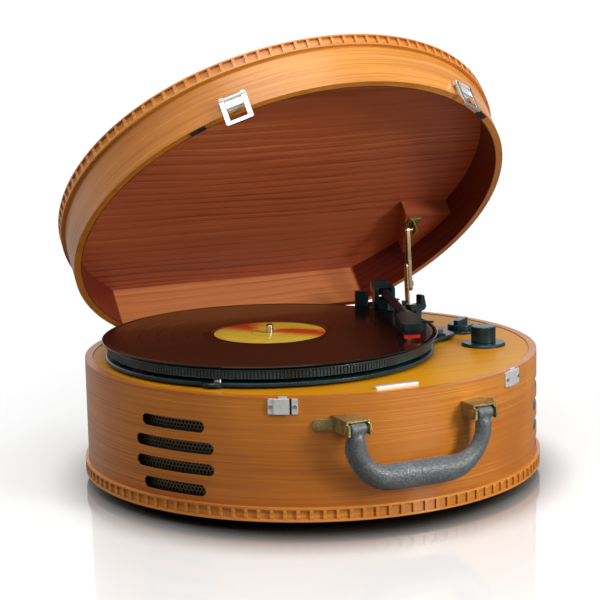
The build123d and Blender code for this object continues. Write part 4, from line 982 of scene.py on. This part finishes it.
def handle_seam():
    """The sewn edges of the cover, standing out along the outside of the handle."""
    angles = [-math.pi / 2 + math.pi * k / 6 for k in range(7)]
    section = [(SEAM_ROOT, -SEAM_HALF_THICK)]
    section += [(SEAM_WIDTH - SEAM_HALF_THICK + SEAM_HALF_THICK * math.cos(angle),
                 SEAM_HALF_THICK * math.sin(angle)) for angle in angles]
    section.append((SEAM_ROOT, SEAM_HALF_THICK))
    rows = []
    for point, outward, length in handle_path(260):
        root = grip_radius(length) * SEAM_SINK
        full = min(1.0, max(0.0, (HALF_LENGTH - abs(length) - 0.004) / 0.012))
        out, through = seam_axes(outward)
        wobble = 0.0002 * noise.noise(Vector((length * 120.0, 0, 3)))
        row = []
        for reach, side in section:
            if reach > 0:
                reach = reach * (0.25 + 0.75 * full)
            row.append(point + out * (root + reach + wobble) + through * side)
        rows.append(row)
    return skin(rows, closed=False)


build("handle_seam_edge", handle_seam(), LEATHER, "handle", sharp_angle=50.0)

STITCH_PITCH = 0.0034
STITCH_LENGTH = 0.0024
STITCH_R = 0.00036
PATH_STEPS = 2000


def stitch(path, middle_length, side):
    """One thread lying on one face of the seam."""
    rows = []
    for i in range(7):
        length = middle_length - STITCH_LENGTH / 2 + STITCH_LENGTH * i / 6
        index = int(round((length + HALF_LENGTH) / (2 * HALF_LENGTH) * PATH_STEPS))
        point, outward, _ = path[min(max(index, 0), PATH_STEPS)]
        out, through = seam_axes(outward)
        lift = 0.00122 + 0.00022 * math.sin(math.pi * i / 6)
        centre = (point + out * (grip_radius(length) * SEAM_SINK + 0.0034)
                  + through * (side * lift))
        radius = STITCH_R * max(0.25, math.sin(math.pi * (i + 0.5) / 7))
        angles = [2 * math.pi * k / 6 for k in range(6)]
        rows.append([centre + out * (radius * math.cos(angle))
                     + through * (radius * 0.8 * math.sin(angle)) for angle in angles])
    return skin(rows, closed=False)


def handle_stitching():
    path = handle_path(PATH_STEPS)
    reach = HALF_LENGTH - 0.018
    threads = []
    k = -int(reach / STITCH_PITCH)
    while k * STITCH_PITCH < reach:
        threads += [stitch(path, k * STITCH_PITCH, side) for side in (-1, 1)]
        k += 1
    return merge(threads)


build("handle_stitching", handle_stitching(), THREAD, "handle", sharp_angle=80.0)

# ---------------------------------------------------------------- floor
scene = bpy.context.scene
VIEW_COS, VIEW_SIN = 0.9084, 0.4181       # of the camera's yaw
WHITE_OUT = 1.04                          # brightness of the far floor and the backdrop


def floor_white():
    """White floor with a painted shadow, a dark ring under the case, fading to plain white further
    out.
    """
    mat = Material("floor_white")
    seen = mat.seen_by_camera()
    tint = mat.mix(mat.noise(mat.coords, 3.0), (0.80, 0.80, 0.80, 1), (0.84, 0.84, 0.84, 1))
    x, y, _ = mat.split(mat.coords)
    dy = y - CASE_Y
    # the painted shadow ring and the fade are narrower across the view than along it
    across = x * VIEW_COS - dy * VIEW_SIN
    along = x * VIEW_SIN + dy * VIEW_COS
    along_squared = along * along
    shadow_ring_across, fade_across = across * 1.13, across * 2.0
    ring = mat.math("SQRT", shadow_ring_across * shadow_ring_across + along_squared)
    fade = mat.math("SQRT", fade_across * fade_across + along_squared)
    shadow_ring_edge = (0.204, 0.286)
    # painted shadow: the floor colour goes nearly black under the case, and its camera-only glow is
    # left out there
    tint = mat.mix(mat.step(ring, *shadow_ring_edge), (0.02, 0.017, 0.014, 1), tint)
    mat.finish(color=mat.mix(seen, (0.17, 0.155, 0.14, 1), tint), rough=0.06, spec=0.5,
               ior=1.8, glow_color=(1.0, 0.99, 0.975, 1.0),
               glow=seen * mat.step(ring, *shadow_ring_edge) * 0.06)
    white = mat.node("Emission", {0: (1.0, 1.0, 1.0, 1.0), 1: WHITE_OUT})
    surface = mat.node("MixShader", {0: mat.step(fade, 0.34, 1.00) * seen,
                                     1: Field(mat, mat.principled.outputs[0]), 2: white})
    mat.put(mat.tree.nodes["Material Output"].inputs["Surface"], surface)
    return mat.material


floor_mesh = bpy.data.meshes.new("floor")
grid = bmesh.new()
bmesh.ops.create_grid(grid, x_segments=4, y_segments=4, size=60.0)
grid.to_mesh(floor_mesh)
grid.free()
floor = bpy.data.objects.new("floor", floor_mesh)
scene.collection.objects.link(floor)
floor_mesh.materials.append(floor_white())

# ---------------------------------------------------------------- world
SKY_LOW, SKY_HIGH, SKY_BACK = 0.12, 0.80, 1.0   # light from the horizon, above and +Y

scene.world = bpy.data.worlds.new("studio")
scene.world.use_nodes = True
sky = Graph(scene.world.node_tree)
background = sky.tree.nodes["Background"]
_, sky_y, sky_z = sky.split(sky.node("TexCoord", {}, "Generated"))
glow = sky.mix_value(sky.ease(sky_y, 0.40, 0.90, 0.0, 1.0),
                     sky.ease(sky_z, -0.05, 0.95, SKY_LOW, SKY_HIGH), SKY_BACK)
background.inputs[0].default_value = (1.0, 1.0, 1.0, 1.0)
sky.put(background.inputs[1], sky.mix_value(sky.seen_by_camera(), glow, WHITE_OUT))


# ---------------------------------------------------------------- lights
def area(name, location, target, size, size_y, power, colour=(1, 1, 1)):
    light = bpy.data.lights.new(name, "AREA")
    light.energy = power
    light.color = colour
    light.shape = "RECTANGLE"
    light.size = size
    light.size_y = size_y
    lamp = bpy.data.objects.new(name, light)
    lamp.location = location
    lamp.rotation_mode = "QUATERNION"
    lamp.rotation_quaternion = (Vector(location) - Vector(target)).to_track_quat("Z", "Y")
    scene.collection.objects.link(lamp)


area("key", location=(1.00, -1.82, 0.95), target=(0.02, -0.1, 0.08), size=0.55, size_y=0.9,
     power=34.0, colour=(1.0, 0.97, 0.92))
area("top", location=(-0.35, -0.55, 1.9), target=(0.0, 0.0, 0.2), size=1.3, size_y=1.3,
     power=15.0)
area("left_fill", location=(-2.0, -0.9, 0.9), target=(0.0, 0.0, 0.15), size=1.2, size_y=1.4,
     power=1.5, colour=(0.94, 0.97, 1.0))

# ---------------------------------------------------------------- camera
YAW, PITCH, ROLL = (math.radians(angle) for angle in (24.71493, 9.85142, -1.26170))

lens = bpy.data.cameras.new("camera")
camera = bpy.data.objects.new("camera", lens)
scene.collection.objects.link(camera)
scene.camera = camera
forward = Vector((math.sin(YAW) * math.cos(PITCH), math.cos(YAW) * math.cos(PITCH),
                  -math.sin(PITCH)))
level_right = Vector((math.cos(YAW), -math.sin(YAW), 0.0))
level_up = level_right.cross(forward)
right = level_right * math.cos(ROLL) + level_up * math.sin(ROLL)
up = -level_right * math.sin(ROLL) + level_up * math.cos(ROLL)
camera.rotation_mode = "QUATERNION"
camera.rotation_quaternion = Matrix((right, up, -forward)).transposed().to_quaternion()
camera.location = (-0.695947, -1.470751, 0.441809)
lens.sensor_width = 36.0
lens.lens = 110.12886
lens.clip_start, lens.clip_end = 0.05, 60.0
scene.view_settings.view_transform = "Standard"
scene.view_settings.look = "None"
